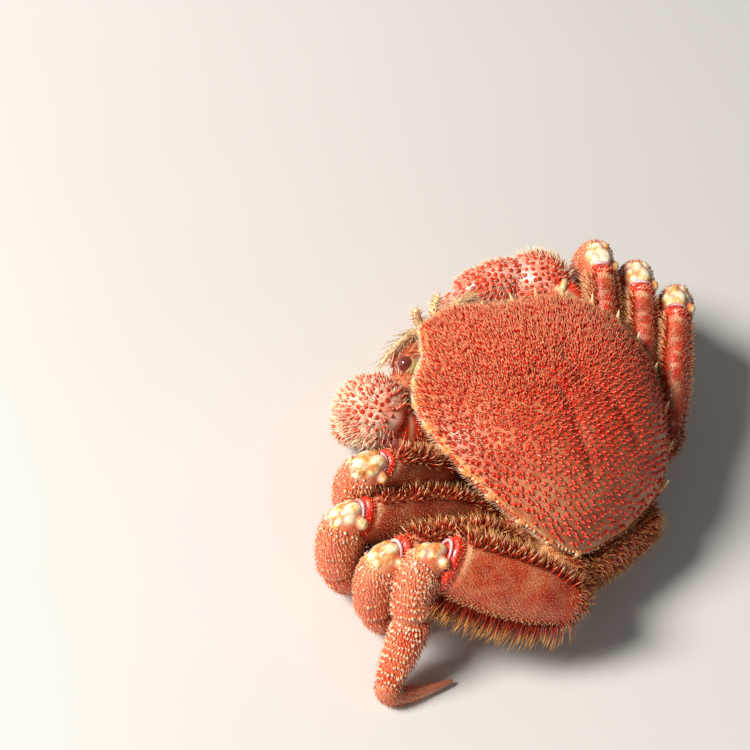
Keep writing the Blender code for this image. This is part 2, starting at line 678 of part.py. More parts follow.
def grow_spines(nodes):
    """Fuses onto each node the spines that stay clear of the other nodes, their spines and the floor."""
    tree, owners = all_surfaces(nodes)
    taken = []
    for name, wished in wished_spines().items():
        node = bpy.data.objects[name]
        cones = []
        for point, along, length, radius in wished:
            near = [hit for hit in tree.find_nearest_range(Vector(point), SURFACE_REACH) if owners[hit[2]] == name]
            if not near:
                continue
            root = np.array(min(near, key=lambda hit: hit[3])[0])
            shares = (-SPINE_SINK / (length * MM), *SPINE_STATIONS)
            samples = [root + along * length * MM * share for share in shares]
            reach = [max(SPINE_CLEAR, radius * MM * min(1 - share, 1) + GAP) for share in shares]
            if samples[-1][2] < FLOOR_CLEAR:
                continue
            close = [hit for at, far in zip(samples, reach) for hit in tree.find_nearest_range(Vector(at), far)]
            if any(owners[hit[2]] != name for hit in close):
                continue
            others = np.array([at for owner, at in taken if owner != name]).reshape(-1, 3)
            if len(others) and min(np.linalg.norm(others - at, axis=1).min() for at in samples) < TIP_CLEAR:
                continue
            taken += [(name, at) for at in samples]
            cones.append(cone(root, along, length * MM, radius * MM))
        if cones:
            boolean(node, cones, "UNION")


def stand_on_floor(nodes):
    """Moves the crab so that the middle of its bounding box is over the origin."""
    points = np.array([v.co for node in nodes for v in node.data.vertices])
    middle = (points.min(0) + points.max(0)) / 2
    for node in nodes:
        node.data.transform(Matrix.Translation((-middle[0], -middle[1], 0)))
    return (middle[0], middle[1], 0)


NODES = build_crab()
grow_spines(NODES)
SHIFT = stand_on_floor(NODES)
for cutter in list(CUTTERS.objects):
    bpy.data.objects.remove(cutter, do_unlink=True)
bpy.data.collections.remove(CUTTERS)
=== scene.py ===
"""Looks of the boiled horsehair crab: shell, spines, bristles, camera, floor and light.

Places are in the crab's own frame, in millimetres: +Y its front, +X its right side, +Z up, floor at 0.
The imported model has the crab's box over the origin, so every mesh is moved by SHIFT when it is made.
"""
import math

import bpy
import numpy as np
from mathutils import Matrix, Vector


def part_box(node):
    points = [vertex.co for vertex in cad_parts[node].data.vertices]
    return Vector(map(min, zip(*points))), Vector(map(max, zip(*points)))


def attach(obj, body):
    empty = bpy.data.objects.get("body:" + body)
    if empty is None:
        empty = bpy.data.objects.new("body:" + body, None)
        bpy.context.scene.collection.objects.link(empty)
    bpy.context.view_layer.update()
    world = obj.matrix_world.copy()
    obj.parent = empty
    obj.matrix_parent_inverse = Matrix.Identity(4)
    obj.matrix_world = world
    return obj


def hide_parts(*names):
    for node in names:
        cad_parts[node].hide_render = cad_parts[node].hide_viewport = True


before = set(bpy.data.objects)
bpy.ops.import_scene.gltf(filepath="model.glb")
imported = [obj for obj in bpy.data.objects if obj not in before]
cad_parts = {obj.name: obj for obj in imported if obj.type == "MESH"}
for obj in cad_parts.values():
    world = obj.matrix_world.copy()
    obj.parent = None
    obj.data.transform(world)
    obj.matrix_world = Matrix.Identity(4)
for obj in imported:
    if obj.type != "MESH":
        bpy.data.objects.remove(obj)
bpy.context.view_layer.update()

MM = 0.001
RNG = np.random.default_rng(11)
LEFT, RIGHT = "left", "right"
SIDES = ((LEFT, -1), (RIGHT, 1))
AXES = ((1, 0, 0), (0, 1, 0), (0, 0, 1))
UP = np.array([0, 0, 1.0])
FORWARD = np.array([0, 1.0, 0])
# Points along each limb's centre line
LINE_POINTS = 65
# Points along a profile, and how many of them are averaged to round its corners
FINE_STEPS, SMOOTH_STEPS = 241, 27
# The span that goes all the way round a limb
AROUND = (0, 1)

# The carapace's form, as in the part's source
HALF_OUTLINE = [(0, 54.5), (7, 54), (13, 49.5), (20, 43.5), (27, 39.5), (35, 35.5), (43, 28),
                (48.3, 15), (49.5, 2), (47.5, -12), (42, -26), (34, -38), (22, -47), (0, -50)]
FRONT_Y, REAR_Y = HALF_OUTLINE[0][1], HALF_OUTLINE[-1][1]
FRONT_DIP = 2.5
MARGIN_FRONT_Z = 36
MARGIN_MIDDLE_Z = 50.5
MARGIN_REAR_Z = 32.5
DOME_RISE = 17
DOME_POWER = 2.6
BODY_SPLIT_Z = 29
# Stations of the side wall below the margin: share of the outline, share of the height down to the split
WALL_STATIONS = [(1.0, 0.0), (0.985, 0.1), (0.94, 0.3), (0.86, 0.55), (0.79, 0.82), (0.76, 1.0)]
# The margin's place in the skin's u, which runs from the middle of the back (0) to the foot of the wall (1)
WALL_START = 0.72

# Thorax stations from the mouth to the rear as (y, half width, lowest z)
THORAX_STATIONS = [(41, 13, 24), (28, 24, 18), (8, 31, 14), (-14, 33, 13), (-34, 29, 14), (-46, 21, 18)]
COXA_RADII = {1: 6.6, 2: 6.6, 3: 6.6, 4: 6.6, 5: 8.2}
COXA_CENTRES = {1: (27, 23, 24), 2: (33, 6, 23), 3: (34, -11, 22), 4: (30, -27, 22), 5: (23, -38, 22)}
COXA_PROFILE = [(0, 0.8), (0.5, 1.05), (0.72, 0.86), (0.8, 0.98), (1, 0.8)]

# Legs 2 to 5: merus base, knee, carpus end, propodus end and tip
LEG_JOINTS = {
    (LEFT, 2): [(-45, 5, 33), (-80, 20, 50), (-77, 17, 25), (-58, 11, 8), (-32, 7, 4)],
    (LEFT, 3): [(-46, -9, 29), (-92, 12, 38), (-93, 2, 13), (-62, -8, 8), (-34, -12, 4)],
    (LEFT, 4): [(-43, -25, 27), (-91, -7, 37), (-92, -17, 12), (-62, -26, 8), (-34, -29, 4)],
    (LEFT, 5): [(-39, -58, 29), (-82, -18, 44.5), (-92, -29, 23), (-106, -38, 8), (-79, -50, 4)],
    (RIGHT, 2): [(43, 2, 36), (67, 34, 49), (76, 37, 25), (58, 30, 8), (34, 24, 4)],
    (RIGHT, 3): [(48, -16, 33), (78, 19.5, 46), (88, 21, 21), (66, 12, 8), (38, 8, 4)],
    (RIGHT, 4): [(48, -33, 32), (84, 3.5, 46), (94, 0, 22), (73, -8, 8), (43, -10, 4)],
    (RIGHT, 5): [(29, -40, 20), (60, -2, 19), (63, -17, 9), (46, -31, 8), (22, -38, 4)],
}
FLOOR_FLAT = 0.5
KNEE_OUT = {2: 6, 3: 6, 4: 6, 5: 9}
MERUS_BROAD = {2: 10.0, 3: 10.5, 4: 10.5, 5: 12.3}
MERUS_THIN = 6.3
CARPUS_HALF = (8.8, 7.0)
PROPODUS_HALF = (8.0, 6.6)
DACTYL_HALF = (4.4, 3.8)
# The skin's share of the solids' half widths, under its scales and bristles
SKIN_SHARE = {2: 0.94, 3: 0.94, 4: 0.93, 5: 0.86}
MERUS_PROFILE = [(0, 0.40), (0.08, 0.62), (0.3, 0.93), (0.55, 1.0), (0.8, 0.93), (0.93, 0.86), (1, 0.6)]
CARPUS_PROFILE = [(0, 0.55), (0.12, 0.85), (0.35, 1.0), (0.65, 1.02), (0.9, 0.92), (1, 0.6)]
PROPODUS_PROFILE = [(0, 0.5), (0.1, 0.85), (0.35, 1.0), (0.7, 0.9), (0.93, 0.66), (1, 0.4)]
DACTYL_PROFILE = [(0, 0.7), (0.12, 1.0), (0.4, 0.85), (0.7, 0.58), (0.9, 0.34), (1, 0.12)]
# Lobes of a knee on the carpus: place along and round it (towards the hind side), half spans along and round
KNEE_LOBES = [(0.15, 0.03, 0.085, 0.06), (0.12, -0.09, 0.07, 0.05), (0.26, -0.03, 0.07, 0.05),
              (0.21, -0.13, 0.06, 0.045), (0.31, 0.06, 0.05, 0.04), (0.22, 0.11, 0.05, 0.035),
              (0.34, -0.09, 0.04, 0.035), (0.12, 0.19, 0.06, 0.05)]
LOBE_HEIGHTS = [1.3, 0.8, 1.0, 0.6, 1.0, 0.5, 0.6, 2.2]
KNEE_SPREAD = 1.15

# Chelipeds: merus base, elbow, carpus centre, palm root, palm end, finger tip
ARM_JOINTS = {
    LEFT: [(-29, 25, 29), (-46, 32, 30), (-49.2, 40.1, 34), (-47, 43.5, 23), (-35, 46, 10.5), (-15, 47, 6)],
    RIGHT: [(29, 26, 29), (58, 36, 37), (49, 44, 35), (43, 51, 34), (23, 58, 25), (11, 54, 11)],
}
ARM_MERUS_HALF = (9.0, 8.0)
ELBOW_LIFT = {LEFT: (0, 0, 0), RIGHT: (-2, -3, 5)}
ELBOW_TOOTH = {LEFT: (-44.6, 29.6, 33), RIGHT: (47.7, 34.5, 47)}
ARM_CARPUS_HALF = (12.6, 12.0)
PALM_HALF = (11.5, 8.6)
FINGER_HALF = (4.6, 4.2)
ARM_MERUS_PROFILE = [(0, 0.5), (0.15, 0.8), (0.5, 0.95), (0.85, 1.0), (1, 0.7)]
ARM_CARPUS_PROFILE = [(0, 0.35), (0.12, 0.68), (0.35, 0.95), (0.6, 0.98), (0.87, 0.7), (1, 0.4)]
PALM_PROFILE = [(0, 0.5), (0.1, 0.8), (0.35, 1.0), (0.7, 0.98), (0.92, 0.78), (1, 0.5)]
FINGER_PROFILE = [(0, 0.8), (0.25, 1.0), (0.6, 0.75), (0.88, 0.42), (1, 0.15)]

# Head
EYE_CENTRE = {LEFT: (26.0, 46.5, 37.0), RIGHT: (24.0, 43.5, 33.0)}
EYE_RADIUS = 2.9
STALK_ROOT = (18.5, 40.0, 34.0)
STALK_HALF = (3.6, 3.2)
STALK_PROFILE = [(0, 1.1), (0.35, 0.85), (0.8, 0.9), (1, 0.8)]
FEELER_RINGS = [(at, 0.02, 0.12) for at in (0.2, 0.36, 0.5, 0.62, 0.72, 0.8, 0.88)]
# Feelers and mouthparts: path, half widths, profile, thin way, collars, rows of the skin, rows of the coat
HEAD_TUBES = [
    ("antenna_", [(7, 50, 30.5), (8.5, 54.5, 32.5), (16, 55, 34.5), (26, 53.6, 35), (33.5, 51.5, 33.5)],
     (1.9, 1.9), [(0, 1.0), (0.3, 0.95), (0.6, 0.6), (0.85, 0.36), (1, 0.18)], UP, FEELER_RINGS, 110,
     [("pale", 1.0, 2.0, 0.12, (0.05, 0.5), AROUND, 1.0),
      ("pale", 1.7, 8.0, 0.13, (0.35, 0.97), AROUND, 2.4)]),
    ("antennule_", [(3.5, 51, 30), (4.5, 58, 33), (6.5, 61, 39)],
     (1.5, 1.5), [(0, 1.0), (0.4, 0.95), (0.8, 0.8), (1, 0.6)], UP, FEELER_RINGS, 70,
     [("pale", 1.0, 1.6, 0.18, (0.2, 0.97), AROUND, 0.9, 0.5),
      ("pale", 1.3, 3.0, 0.13, (0.2, 0.97), AROUND)]),
    ("maxilliped_", [(5.5, 30, 15.5), (6.0, 42, 18.5), (5.5, 51, 26)],
     (5.0, 2.6), [(0, 0.7), (0.2, 1), (0.7, 1), (1, 0.6)], (0, -1, 1), [(0.55, 0.03, -0.1)], 70,
     [("pale", 1.3, 2.2, 0.12, (0.05, 0.95), AROUND, 1.0)]),
]
ORBIT_CENTRE = (22.5, 42.6, 36.4)
ORBIT_HALF = (3.4, 2.6, 2.6)
FACE_CENTRE = (0, 43.5, 27.5)
FACE_HALF = (22.5, 9.0, 6.6)
CHEEK_CENTRE = (28, 39.5, 29.5)
CHEEK_HALF = (9.0, 8.0, 7.0)
BROW_CENTRE = (17, 49.5, 30.5)
BROW_HALF = (9.0, 5.2, 4.2)

# Abdomen stations from under the rear margin to the tip as (y, z, half width)
ABDOMEN_STATIONS = [(-46.5, 28, 21), (-53, 26, 20.5), (-55.5, 20, 19), (-51, 14, 15), (-38, 10.5, 10.5),
                    (-18, 9.8, 7.5), (-2, 10.5, 4)]
ABDOMEN_THICK = 3.4
# The hind end of the body inside the abdomen's fold: centre (y, z) and half sizes
REAR_CENTRE = (-44.5, 19.5)
REAR_HALF = (20.2, 8.6, 6.0)

# Grooves between the regions of the back, on the right half: points (x, y), depth and half width
GROOVES = [
    ([(7, 11), (6, 3), (6.5, -6), (11, -16), (13, -30)], 1.0, 2.2),
    ([(0, -3), (6, -2)], 0.8, 2.2),
    ([(7, 8), (16, 12), (24, 20), (30, 28)], 0.8, 2.6),
    ([(13, 34), (17, 26), (24, 20)], 0.5, 2.2),
]
# Swollen regions of the back: centre (x, y), half widths, rise
REGIONS = [((0, 22), (9, 13), 0.9), ((0, -22), (8, 9), 0.8), ((27, -8), (14, 20), 0.8),
           ((30, 30), (8, 6), 0.5)]

# Teeth of the margin: place along the half outline (0 middle of the front, 1 middle of the rear), length
MARGIN_TEETH = [(0.035, 3.2), (0.11, 2.6), (0.20, 2.6), (0.31, 3.4), (0.39, 4.2), (0.455, 4.5), (0.515, 4.5),
                (0.575, 4.2), (0.635, 3.8), (0.70, 3.4), (0.77, 3.0), (0.84, 2.6), (0.91, 2.6)]
OUTLINE_STEPS = 200
TOOTH_RADIUS = 1.5
TOOTH_SPIKES = 12
BEADS = 230
# Rows along the margin: distance below it in the skin's u, and length
MARGIN_SPINES = [(-0.012, 1.7), (0.02, 1.6), (0.07, 1.3)]
MARGIN_HAIRS = [(-0.004, 2.6), (0.04, 2.6), (0.1, 2.4)]
HAIRS_IN_ROW = 560

# The back's coat: distance between its spines, and how many bristles stand round each
SPINE_PITCH = 2.3
SETAE_PER_SPINE = 9
SETAE_SPLIT_Y = 8
BACK_SPANS = ((-54, 54), (-56, 58))
# Distance between rows of a triangular grid, for a pitch of 1
TRIANGLE_ROWS = 0.866

# Each form of spine or bristle up to its tip, as (share of the length, share of the radius), and its sides
FORMS = {
    "spine": ([(-0.12, 1.5), (0.1, 1.0), (0.45, 0.62), (1, 0)], 5),
    "tubercle": ([(-0.1, 2.3), (0.07, 2.0), (0.2, 1.1), (0.6, 0.7), (1, 0)], 7),
    "scale": ([(-0.25, 1.0), (0.2, 1.1), (0.6, 0.9), (1, 0)], 5),
    "bead": ([(-0.4, 1.0), (0.2, 1.0), (0.65, 0.75), (0.9, 0.4), (1, 0)], 7),
    "bristle": ([(-0.06, 1.0), (0.4, 0.85), (0.75, 0.55), (1, 0)], 3),
    "pale": ([(-0.06, 1.0), (0.4, 0.85), (0.75, 0.55), (1, 0)], 3),
    "tooth": ([(-0.35, 1.05), (0.0, 1.0), (0.3, 0.78), (0.6, 0.5), (0.85, 0.22), (1, 0)], 12),
}
LENGTH_SPREAD, RADIUS_SPREAD = 0.25, 0.15
SCALE_SPREAD = 0.35
AXIS_LOOSE, BEND_LOOSE = 0.13, 0.08
SOFT_BEND, SOFT_DROOP = 0.15, 0.1
FLOOR_CLEAR = 0.2
# Least part of a normal along the wanted way where hairs grow on one face only
LEAST_FACING = 0.35

# Edges left free in the unwraps, a spike's span in them, and the width of the back's unwrap
SKIN_EDGE = 0.02
COAT_EDGE = 0.03
SPIKE_SPAN = 0.003
PLAN_WIDTH = 125

# Camera: seen from azimuth and elevation, turned by roll; the target lands on a pixel of the photo's frame
VIEW_AZIMUTH = 12
VIEW_ELEVATION = 49
VIEW_ROLL = 38
VIEW_TARGET = (0, 0, 44)
TARGET_PIXEL = (544.2, 414.5)
PIXELS_PER_MM = 2.75
VIEW_DISTANCE = 900
IMAGE_SIZE = 750
SENSOR_MM = 36
FLOOR_HALF = 2.5

# Scales of the paints' noises, per metre, and depth of the grain
PATCH_NOISE = 95
RIM_NOISE = 170
KNEE_NOISE = 260
FLECK_NOISE = 430
EYE_NOISE = 900
GRAIN_NOISE = 1500
GRAIN_DEPTH = 0.12

# Colours as 8-bit sRGB
OFF = (0, 0, 0)
ON = (255, 255, 255)
RED = (232, 44, 18)
DEEP_RED = (140, 26, 16)
MAUVE_RED = (112, 30, 26)
ORANGE_RED = (230, 84, 40)
PEACH = (255, 200, 142)
CREAM = (255, 228, 178)
GOLD = (250, 190, 100)
WHITE = (255, 238, 228)
RIM_ORANGE = (240, 140, 52)
BACK_TONES = ((184, 52, 26), (207, 94, 54), (220, 148, 102))
LEG_TONES = ((200, 56, 28), (222, 88, 50), (234, 138, 94))
KNEE_STOPS = [(0.36, (226, 120, 48)), (0.45, (248, 204, 110)), (0.54, (255, 248, 218))]
RIM_STOPS = [(0.4, (236, 128, 48)), (0.52, (248, 186, 104)), (0.62, (255, 240, 196))]


def unit(v):
    v = np.asarray(v, float)
    return v / np.linalg.norm(v, axis=-1, keepdims=True)


def smoothstep(low, high, x):
    t = np.clip((x - low) / (high - low), 0, 1)
    return t * t * (3 - 2 * t)


def curve_points(points, count):
    """Points spaced evenly in parameter along a smooth curve through the given points (Catmull-Rom)."""
    p = np.asarray(points, float)
    p = np.vstack([2 * p[0] - p[1], p, 2 * p[-1] - p[-2]])
    u = np.linspace(0, len(p) - 3, count)
    i = np.minimum(u.astype(int), len(p) - 4)
    t = (u - i)[:, None]
    a, b, c, d = p[i], p[i + 1], p[i + 2], p[i + 3]
    return 0.5 * (2 * b + (c - a) * t + (2 * a - 5 * b + 4 * c - d) * t * t
                  + (3 * b - a - 3 * c + d) * t ** 3)


def spans(u, v):
    """u and v as arrays of one shape."""
    return np.broadcast_arrays(np.asarray(u, float), np.asarray(v, float))


def read_at(u, rows):
    """Rows of numbers read at u, from the first (0) to the last (1)."""
    steps = np.linspace(0, 1, len(rows))
    return np.stack([np.interp(u, steps, column) for column in rows.T], -1)


def mirrored(place, sign):
    return np.array(place, float) * [sign, 1, 1]


def inset(share, edge):
    """A share of an unwrap's width, with an edge left free on both sides."""
    return edge + (1 - 2 * edge) * share


def eye_shift():
    """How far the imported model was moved, from where its left eye is."""
    low, high = (np.array(corner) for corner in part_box("eye_left"))
    shift = (low + high) / 2 / MM - mirrored(EYE_CENTRE[LEFT], -1)
    return np.array([shift[0], shift[1], 0])


SHIFT = eye_shift()


# Mesh parts: a part is its points, its faces' corners and sizes, a UV place and named marks for each point

def tube_part(surface, rows, columns, marks=None):
    """A skin over surface(u, v) with v closed round it and both ends closed."""
    uu, vv = np.meshgrid(np.linspace(0, 1, rows), np.arange(columns) / columns, indexing="ij")
    i, j = np.meshgrid(np.arange(rows - 1), np.arange(columns), indexing="ij")
    k = (j + 1) % columns
    low, high = i * columns, (i + 1) * columns
    quads = np.stack([low + j, high + j, high + k, low + k], -1).reshape(-1)
    ring = np.arange(columns)
    corners = np.concatenate([quads, ring, (rows - 1) * columns + ring[::-1]])
    sizes = np.repeat([4, columns], [(rows - 1) * columns, 2])
    uv = np.stack([inset(vv, SKIN_EDGE), inset(uu, SKIN_EDGE)], -1).reshape(-1, 2)
    marks = marks(uu, vv) if callable(marks) else marks or {}
    named = {name: np.broadcast_to(value, uu.shape).reshape(-1) for name, value in marks.items()}
    return surface(uu, vv).reshape(-1, 3), corners, sizes, uv, named


def spike_part(roots, axes, lengths, radii, bends, form, uv, marks):
    """Many spines or bristles of one form at once."""
    count = len(roots)
    outline, sides = FORMS[form]
    side = unit(np.cross(axes, [0.31, 0.17, 0.94]))
    other = np.cross(axes, side)
    turn = (np.arange(sides) * 2 * math.pi / sides)[:, None]
    circle = np.cos(turn) * side[:, None] + np.sin(turn) * other[:, None]
    reach = lengths[:, None]
    rings = []
    for at, width in outline[:-1]:
        centre = roots + axes * reach * at + bends * reach * max(at, 0) ** 2
        rings.append(centre[:, None] + circle * (radii * width)[:, None, None])
    tip = roots + axes * reach + bends * reach
    points = np.concatenate(rings + [tip[:, None]], 1)
    each = points.shape[1]
    ring = np.arange(sides)
    after = (ring + 1) % sides
    low = sides * np.arange(len(rings) - 1)[:, None]
    last = each - 1 - sides
    quads = np.stack([low + ring, low + after, low + sides + after, low + sides + ring], -1)
    fan = np.stack([last + ring, last + after, np.full(sides, each - 1)], -1)
    faces = np.concatenate([quads.reshape(-1), fan.reshape(-1), ring[::-1]])
    sizes = np.repeat([4, 3, sides], [low.size * sides, sides, 1])
    corners = (faces + each * np.arange(count)[:, None]).reshape(-1)
    around = np.append(np.tile(np.abs(2 * ring / sides - 1), len(rings)), 0.5)
    along = np.append(np.repeat([max(at, 0) for at, _ in outline[:-1]], sides), 1.0)
    patch = SPIKE_SPAN * (np.stack([around, along], -1) - 0.5)
    named = {name: np.repeat(np.broadcast_to(value, count), each) for name, value in marks.items()}
    named["along"] = np.tile(along, count)
    return points.reshape(-1, 3), corners, np.tile(sizes, count), (uv[:, None] + patch).reshape(-1, 2), named


def add_object(name, data):
    thing = bpy.data.objects.new(name, data)
    bpy.context.scene.collection.objects.link(thing)
    return thing


def make_piece(name, parts, paint, nodes=(), uv_name="Skin"):
    """Joins parts into one smooth object that rides on the crab and stands for the nodes."""
    points, corners, sizes, uv, marks = zip(*parts)
    starts = np.cumsum([0] + [len(co) for co in points])
    places = (np.concatenate(points) + SHIFT) * MM
    places[:, 2] = np.maximum(places[:, 2], 0)
    corners = np.concatenate([rows + start for rows, start in zip(corners, starts)]).astype(np.int32)
    sizes = np.concatenate(sizes).astype(np.int32)
    mesh = bpy.data.meshes.new(name)
    mesh.vertices.add(len(places))
    mesh.vertices.foreach_set("co", places.astype(np.float32).reshape(-1))
    mesh.loops.add(len(corners))
    mesh.loops.foreach_set("vertex_index", corners)
    mesh.polygons.add(len(sizes))
    mesh.polygons.foreach_set("loop_start", (np.cumsum(sizes) - sizes).astype(np.int32))
    mesh.update(calc_edges=True)
    layer = mesh.uv_layers.new(name=uv_name)
    layer.data.foreach_set("uv", np.concatenate(uv)[corners].astype(np.float32).reshape(-1))
    for key in sorted(set().union(*marks)):
        value = np.concatenate([named.get(key, np.zeros(len(co))) for named, co in zip(marks, points)])
        mesh.attributes.new(key, "FLOAT", "POINT").data.foreach_set("value", value.astype(np.float32))
    mesh.shade_smooth()
    mesh.materials.append(paint)
    piece = add_object(name, mesh)
    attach(piece, "root")
    if nodes:
        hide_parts(*nodes)


def make_skin(node, parts, paint):
    """The finer skin that stands for a solid."""
    make_piece(node + "_shell", parts, paint, [node])


def make_coat(name, parts, paint):
    make_piece(name, parts, paint, uv_name="OFBake")


# Surfaces: functions of u along the form and v round it that give points in millimetres

def rounded(share):
    """Size of a rounded end at a share of its length."""
    return np.sqrt(np.maximum(1 - (1 - np.clip(share, 0, 1)) ** 2, 0.0004))


def limb_surface(line, half, profile, thin_way, caps=(0.05, 0.05), collars=()):
    """A limb segment: oval rings along a line, with rounded ends and collars (place, width, swell)."""
    tangents = np.gradient(line, axis=0)
    fine = np.linspace(0, 1, FINE_STEPS)
    swell = np.interp(fine, [at for at, _ in profile], [size for _, size in profile])
    window = np.hanning(SMOOTH_STEPS)
    swell = np.convolve(np.pad(swell, SMOOTH_STEPS // 2, mode="edge"), window / window.sum(), mode="valid")
    for at, width, rise in collars:
        swell = swell * (1 + rise * np.exp(-((fine - at) / width) ** 2))
    thin_way = np.asarray(thin_way, float)

    def surface(u, v):
        u, v = spans(u, v)
        along = unit(read_at(u, tangents))
        thin = unit(thin_way - along * (along @ thin_way)[..., None])
        broad = np.cross(along, thin)
        size = (np.interp(u, fine, swell) * rounded(u / caps[0]) * rounded((1 - u) / caps[1]))[..., None]
        turn = (2 * math.pi * v)[..., None]
        return read_at(u, line) + size * (half[0] * np.cos(turn) * broad + half[1] * np.sin(turn) * thin)

    return surface


def lump_surface(centre, axes, radii):
    """An oval lump with three axes at right angles and a radius along each."""
    first, second, third = (unit(axis) * radius for axis, radius in zip(axes, radii))

    def surface(u, v):
        u, v = spans(u, v)
        polar, turn = (math.pi * np.clip(u, 0.004, 0.996))[..., None], (2 * math.pi * v)[..., None]
        ring = np.cos(turn) * second - np.sin(turn) * third
        return np.asarray(centre) - np.cos(polar) * first + np.sin(polar) * ring

    return surface


def ball_surface(centre, radius, axis=UP):
    side = unit(np.cross(axis, [0.3, 0.5, 0.81]))
    return lump_surface(centre, (axis, side, np.cross(unit(axis), side)), (radius,) * 3)


OUTLINE_HALF = curve_points(HALF_OUTLINE, 400)
OUTLINE_ANGLES = np.arctan2(OUTLINE_HALF[:, 0], OUTLINE_HALF[:, 1])
OUTLINE_REACH = np.hypot(OUTLINE_HALF[:, 0], OUTLINE_HALF[:, 1])
WALL_LINE = curve_points(WALL_STATIONS, 60)
THORAX_LINE = curve_points(THORAX_STATIONS, 61)
ABDOMEN_LINE = curve_points(ABDOMEN_STATIONS, 121)
ABDOMEN_CENTRES = np.insert(ABDOMEN_LINE[:, :2], 0, 0, axis=1)
ABDOMEN_TANGENTS = unit(np.gradient(ABDOMEN_CENTRES, axis=0))


def margin_height(y):
    """Height of the carapace margin: a low front and rear, a high middle."""
    front = FRONT_Y - FRONT_DIP
    t = (y - front) / (REAR_Y - front)
    return (MARGIN_FRONT_Z * 2 * (t - 0.5) * (t - 1) + MARGIN_MIDDLE_Z * 4 * t * (1 - t)
            + MARGIN_REAR_Z * 2 * t * (t - 0.5))


def margin_share(x, y):
    """How far a place is from the middle of the back (0) to the margin (1)."""
    reach = np.interp(np.arctan2(np.abs(x), y), OUTLINE_ANGLES, OUTLINE_REACH)
    return np.hypot(x, y) / reach


def polyline_distance(x, y, points):
    best = np.full(np.shape(x), np.inf)
    for (ax, ay), (bx, by) in zip(points, points[1:]):
        dx, dy = bx - ax, by - ay
        t = np.clip(((x - ax) * dx + (y - ay) * dy) / (dx * dx + dy * dy), 0, 1)
        best = np.minimum(best, np.hypot(x - ax - t * dx, y - ay - t * dy))
    return best


def back_relief(x, y):
    """Grooves and swollen regions of the back."""
    x = np.abs(x)
    relief = sum(rise * np.exp(-((x - cx) / wx) ** 2 - ((y - cy) / wy) ** 2)
                 for (cx, cy), (wx, wy), rise in REGIONS)
    for points, depth, width in GROOVES:
        relief = relief - depth * np.exp(-(polyline_distance(x, y, points) / width) ** 2)
    return relief


def back_height(x, y):
    """Height of the back's surface over a place (x, y)."""
    share = np.clip(margin_share(x, y), 0, 1)
    rim_y = y / np.maximum(share, 1e-3)
    margin = margin_height(np.clip(rim_y, REAR_Y, FRONT_Y))
    rise = DOME_RISE * (1 - share ** DOME_POWER) ** 0.75
    dome = MARGIN_MIDDLE_Z + (margin - MARGIN_MIDDLE_Z) * share ** 1.8 + rise
    return dome + back_relief(x, y) * (1 - smoothstep(0.8, 1.0, share))


def outline_at(v):
    """The outline anticlockwise seen from above: v = 0 middle of the front, 0.5 middle of the rear."""
    v = np.mod(v, 1)
    half = np.where(v < 0.5, v, 1 - v) * 2 * (len(OUTLINE_HALF) - 1)
    steps = np.arange(len(OUTLINE_HALF))
    x = np.interp(half, steps, OUTLINE_HALF[:, 0])
    y = np.interp(half, steps, OUTLINE_HALF[:, 1])
    return np.where(v < 0.5, -x, x), y


def carapace_surface(u, v):
    """The back as far as the margin, then the side wall under it."""
    u, v = spans(u, v)
    rim_x, rim_y = outline_at(v)
    share = 1 - (1 - np.clip(u / WALL_START, 0, 1)) ** 1.6
    wall, drop = np.moveaxis(read_at(np.clip((u - WALL_START) / (1 - WALL_START), 0, 1), WALL_LINE), -1, 0)
    on_back = u < WALL_START
    size = np.where(on_back, np.maximum(share, 0.004), wall)
    x, y = rim_x * size, rim_y * size
    margin = margin_height(rim_y)
    z = np.where(on_back, back_height(x, y), margin + (BODY_SPLIT_Z - margin) * drop)
    return np.stack([x, y, z], -1)


def frames(surface, u, v, step=1e-3):
    """Points of a surface, their outward normals and the direction in which u grows."""
    here = surface(u, v)
    du = surface(np.minimum(u + step, 1), v) - surface(np.maximum(u - step, 0), v)
    dv = surface(u, v + step) - surface(u, v - step)
    return here, unit(np.cross(du, dv)), unit(du)


# Lines of the limbs, as in the part's source

def bent_line(start, corner, end):
    t = np.linspace(0, 1, LINE_POINTS)[:, None]
    return (1 - t) ** 2 * start + 2 * t * (1 - t) * corner + t * t * end


def dactyl_line(wrist, along, tip):
    """The last segment goes on in a bend, or folds straight back where it turns sharply."""
    back = unit(tip - wrist)
    if along @ back < -0.4:
        return np.linspace(wrist + along * 2 - back * 2, tip, LINE_POINTS)
    return bent_line(wrist - along * 4, wrist + along * 9, tip)


def leg_lines(joints, number):
    """Centre lines and the thin direction of a leg's four segments."""
    base, knee, heel, wrist, tip = joints
    m, c, p = unit(knee - base), unit(heel - knee), unit(wrist - heel)
    thin = unit(np.cross(m, c))
    merus = bent_line(base - m * 5, (base + knee) / 2, knee - m * 2)
    carpus = bent_line(knee - m * 5, knee + m * KNEE_OUT[number] - c, heel)
    propodus = bent_line(heel - c * 5, heel + c * 3, wrist)
    return thin, (merus, carpus, propodus, dactyl_line(wrist, p, tip))


def settled_joints(side, number):
    """The leg's joints, with its far end lowered until the leg just reaches below the floor."""
    joints = np.array(LEG_JOINTS[side, number], float)
    u, v = np.meshgrid(np.linspace(0, 1, 40), np.arange(24) / 24, indexing="ij")
    for _ in range(8):
        thin, (_, _, propodus, dactyl) = leg_lines(joints, number)
        lowest = min(limb_surface(propodus, PROPODUS_HALF, PROPODUS_PROFILE, thin)(u, v)[..., 2].min(),
                     limb_surface(dactyl, DACTYL_HALF, DACTYL_PROFILE, thin)(u, v)[..., 2].min())
        joints[3:, 2] -= lowest + FLOOR_FLAT * 0.2
    return joints


# Paints

def linear(colour):
    """An 8-bit sRGB colour as linear red, green, blue and alpha."""
    c = np.array(colour) / 255
    return tuple(np.where(c <= 0.04045, c / 12.92, ((c + 0.055) / 1.055) ** 2.4)) + (1.0,)


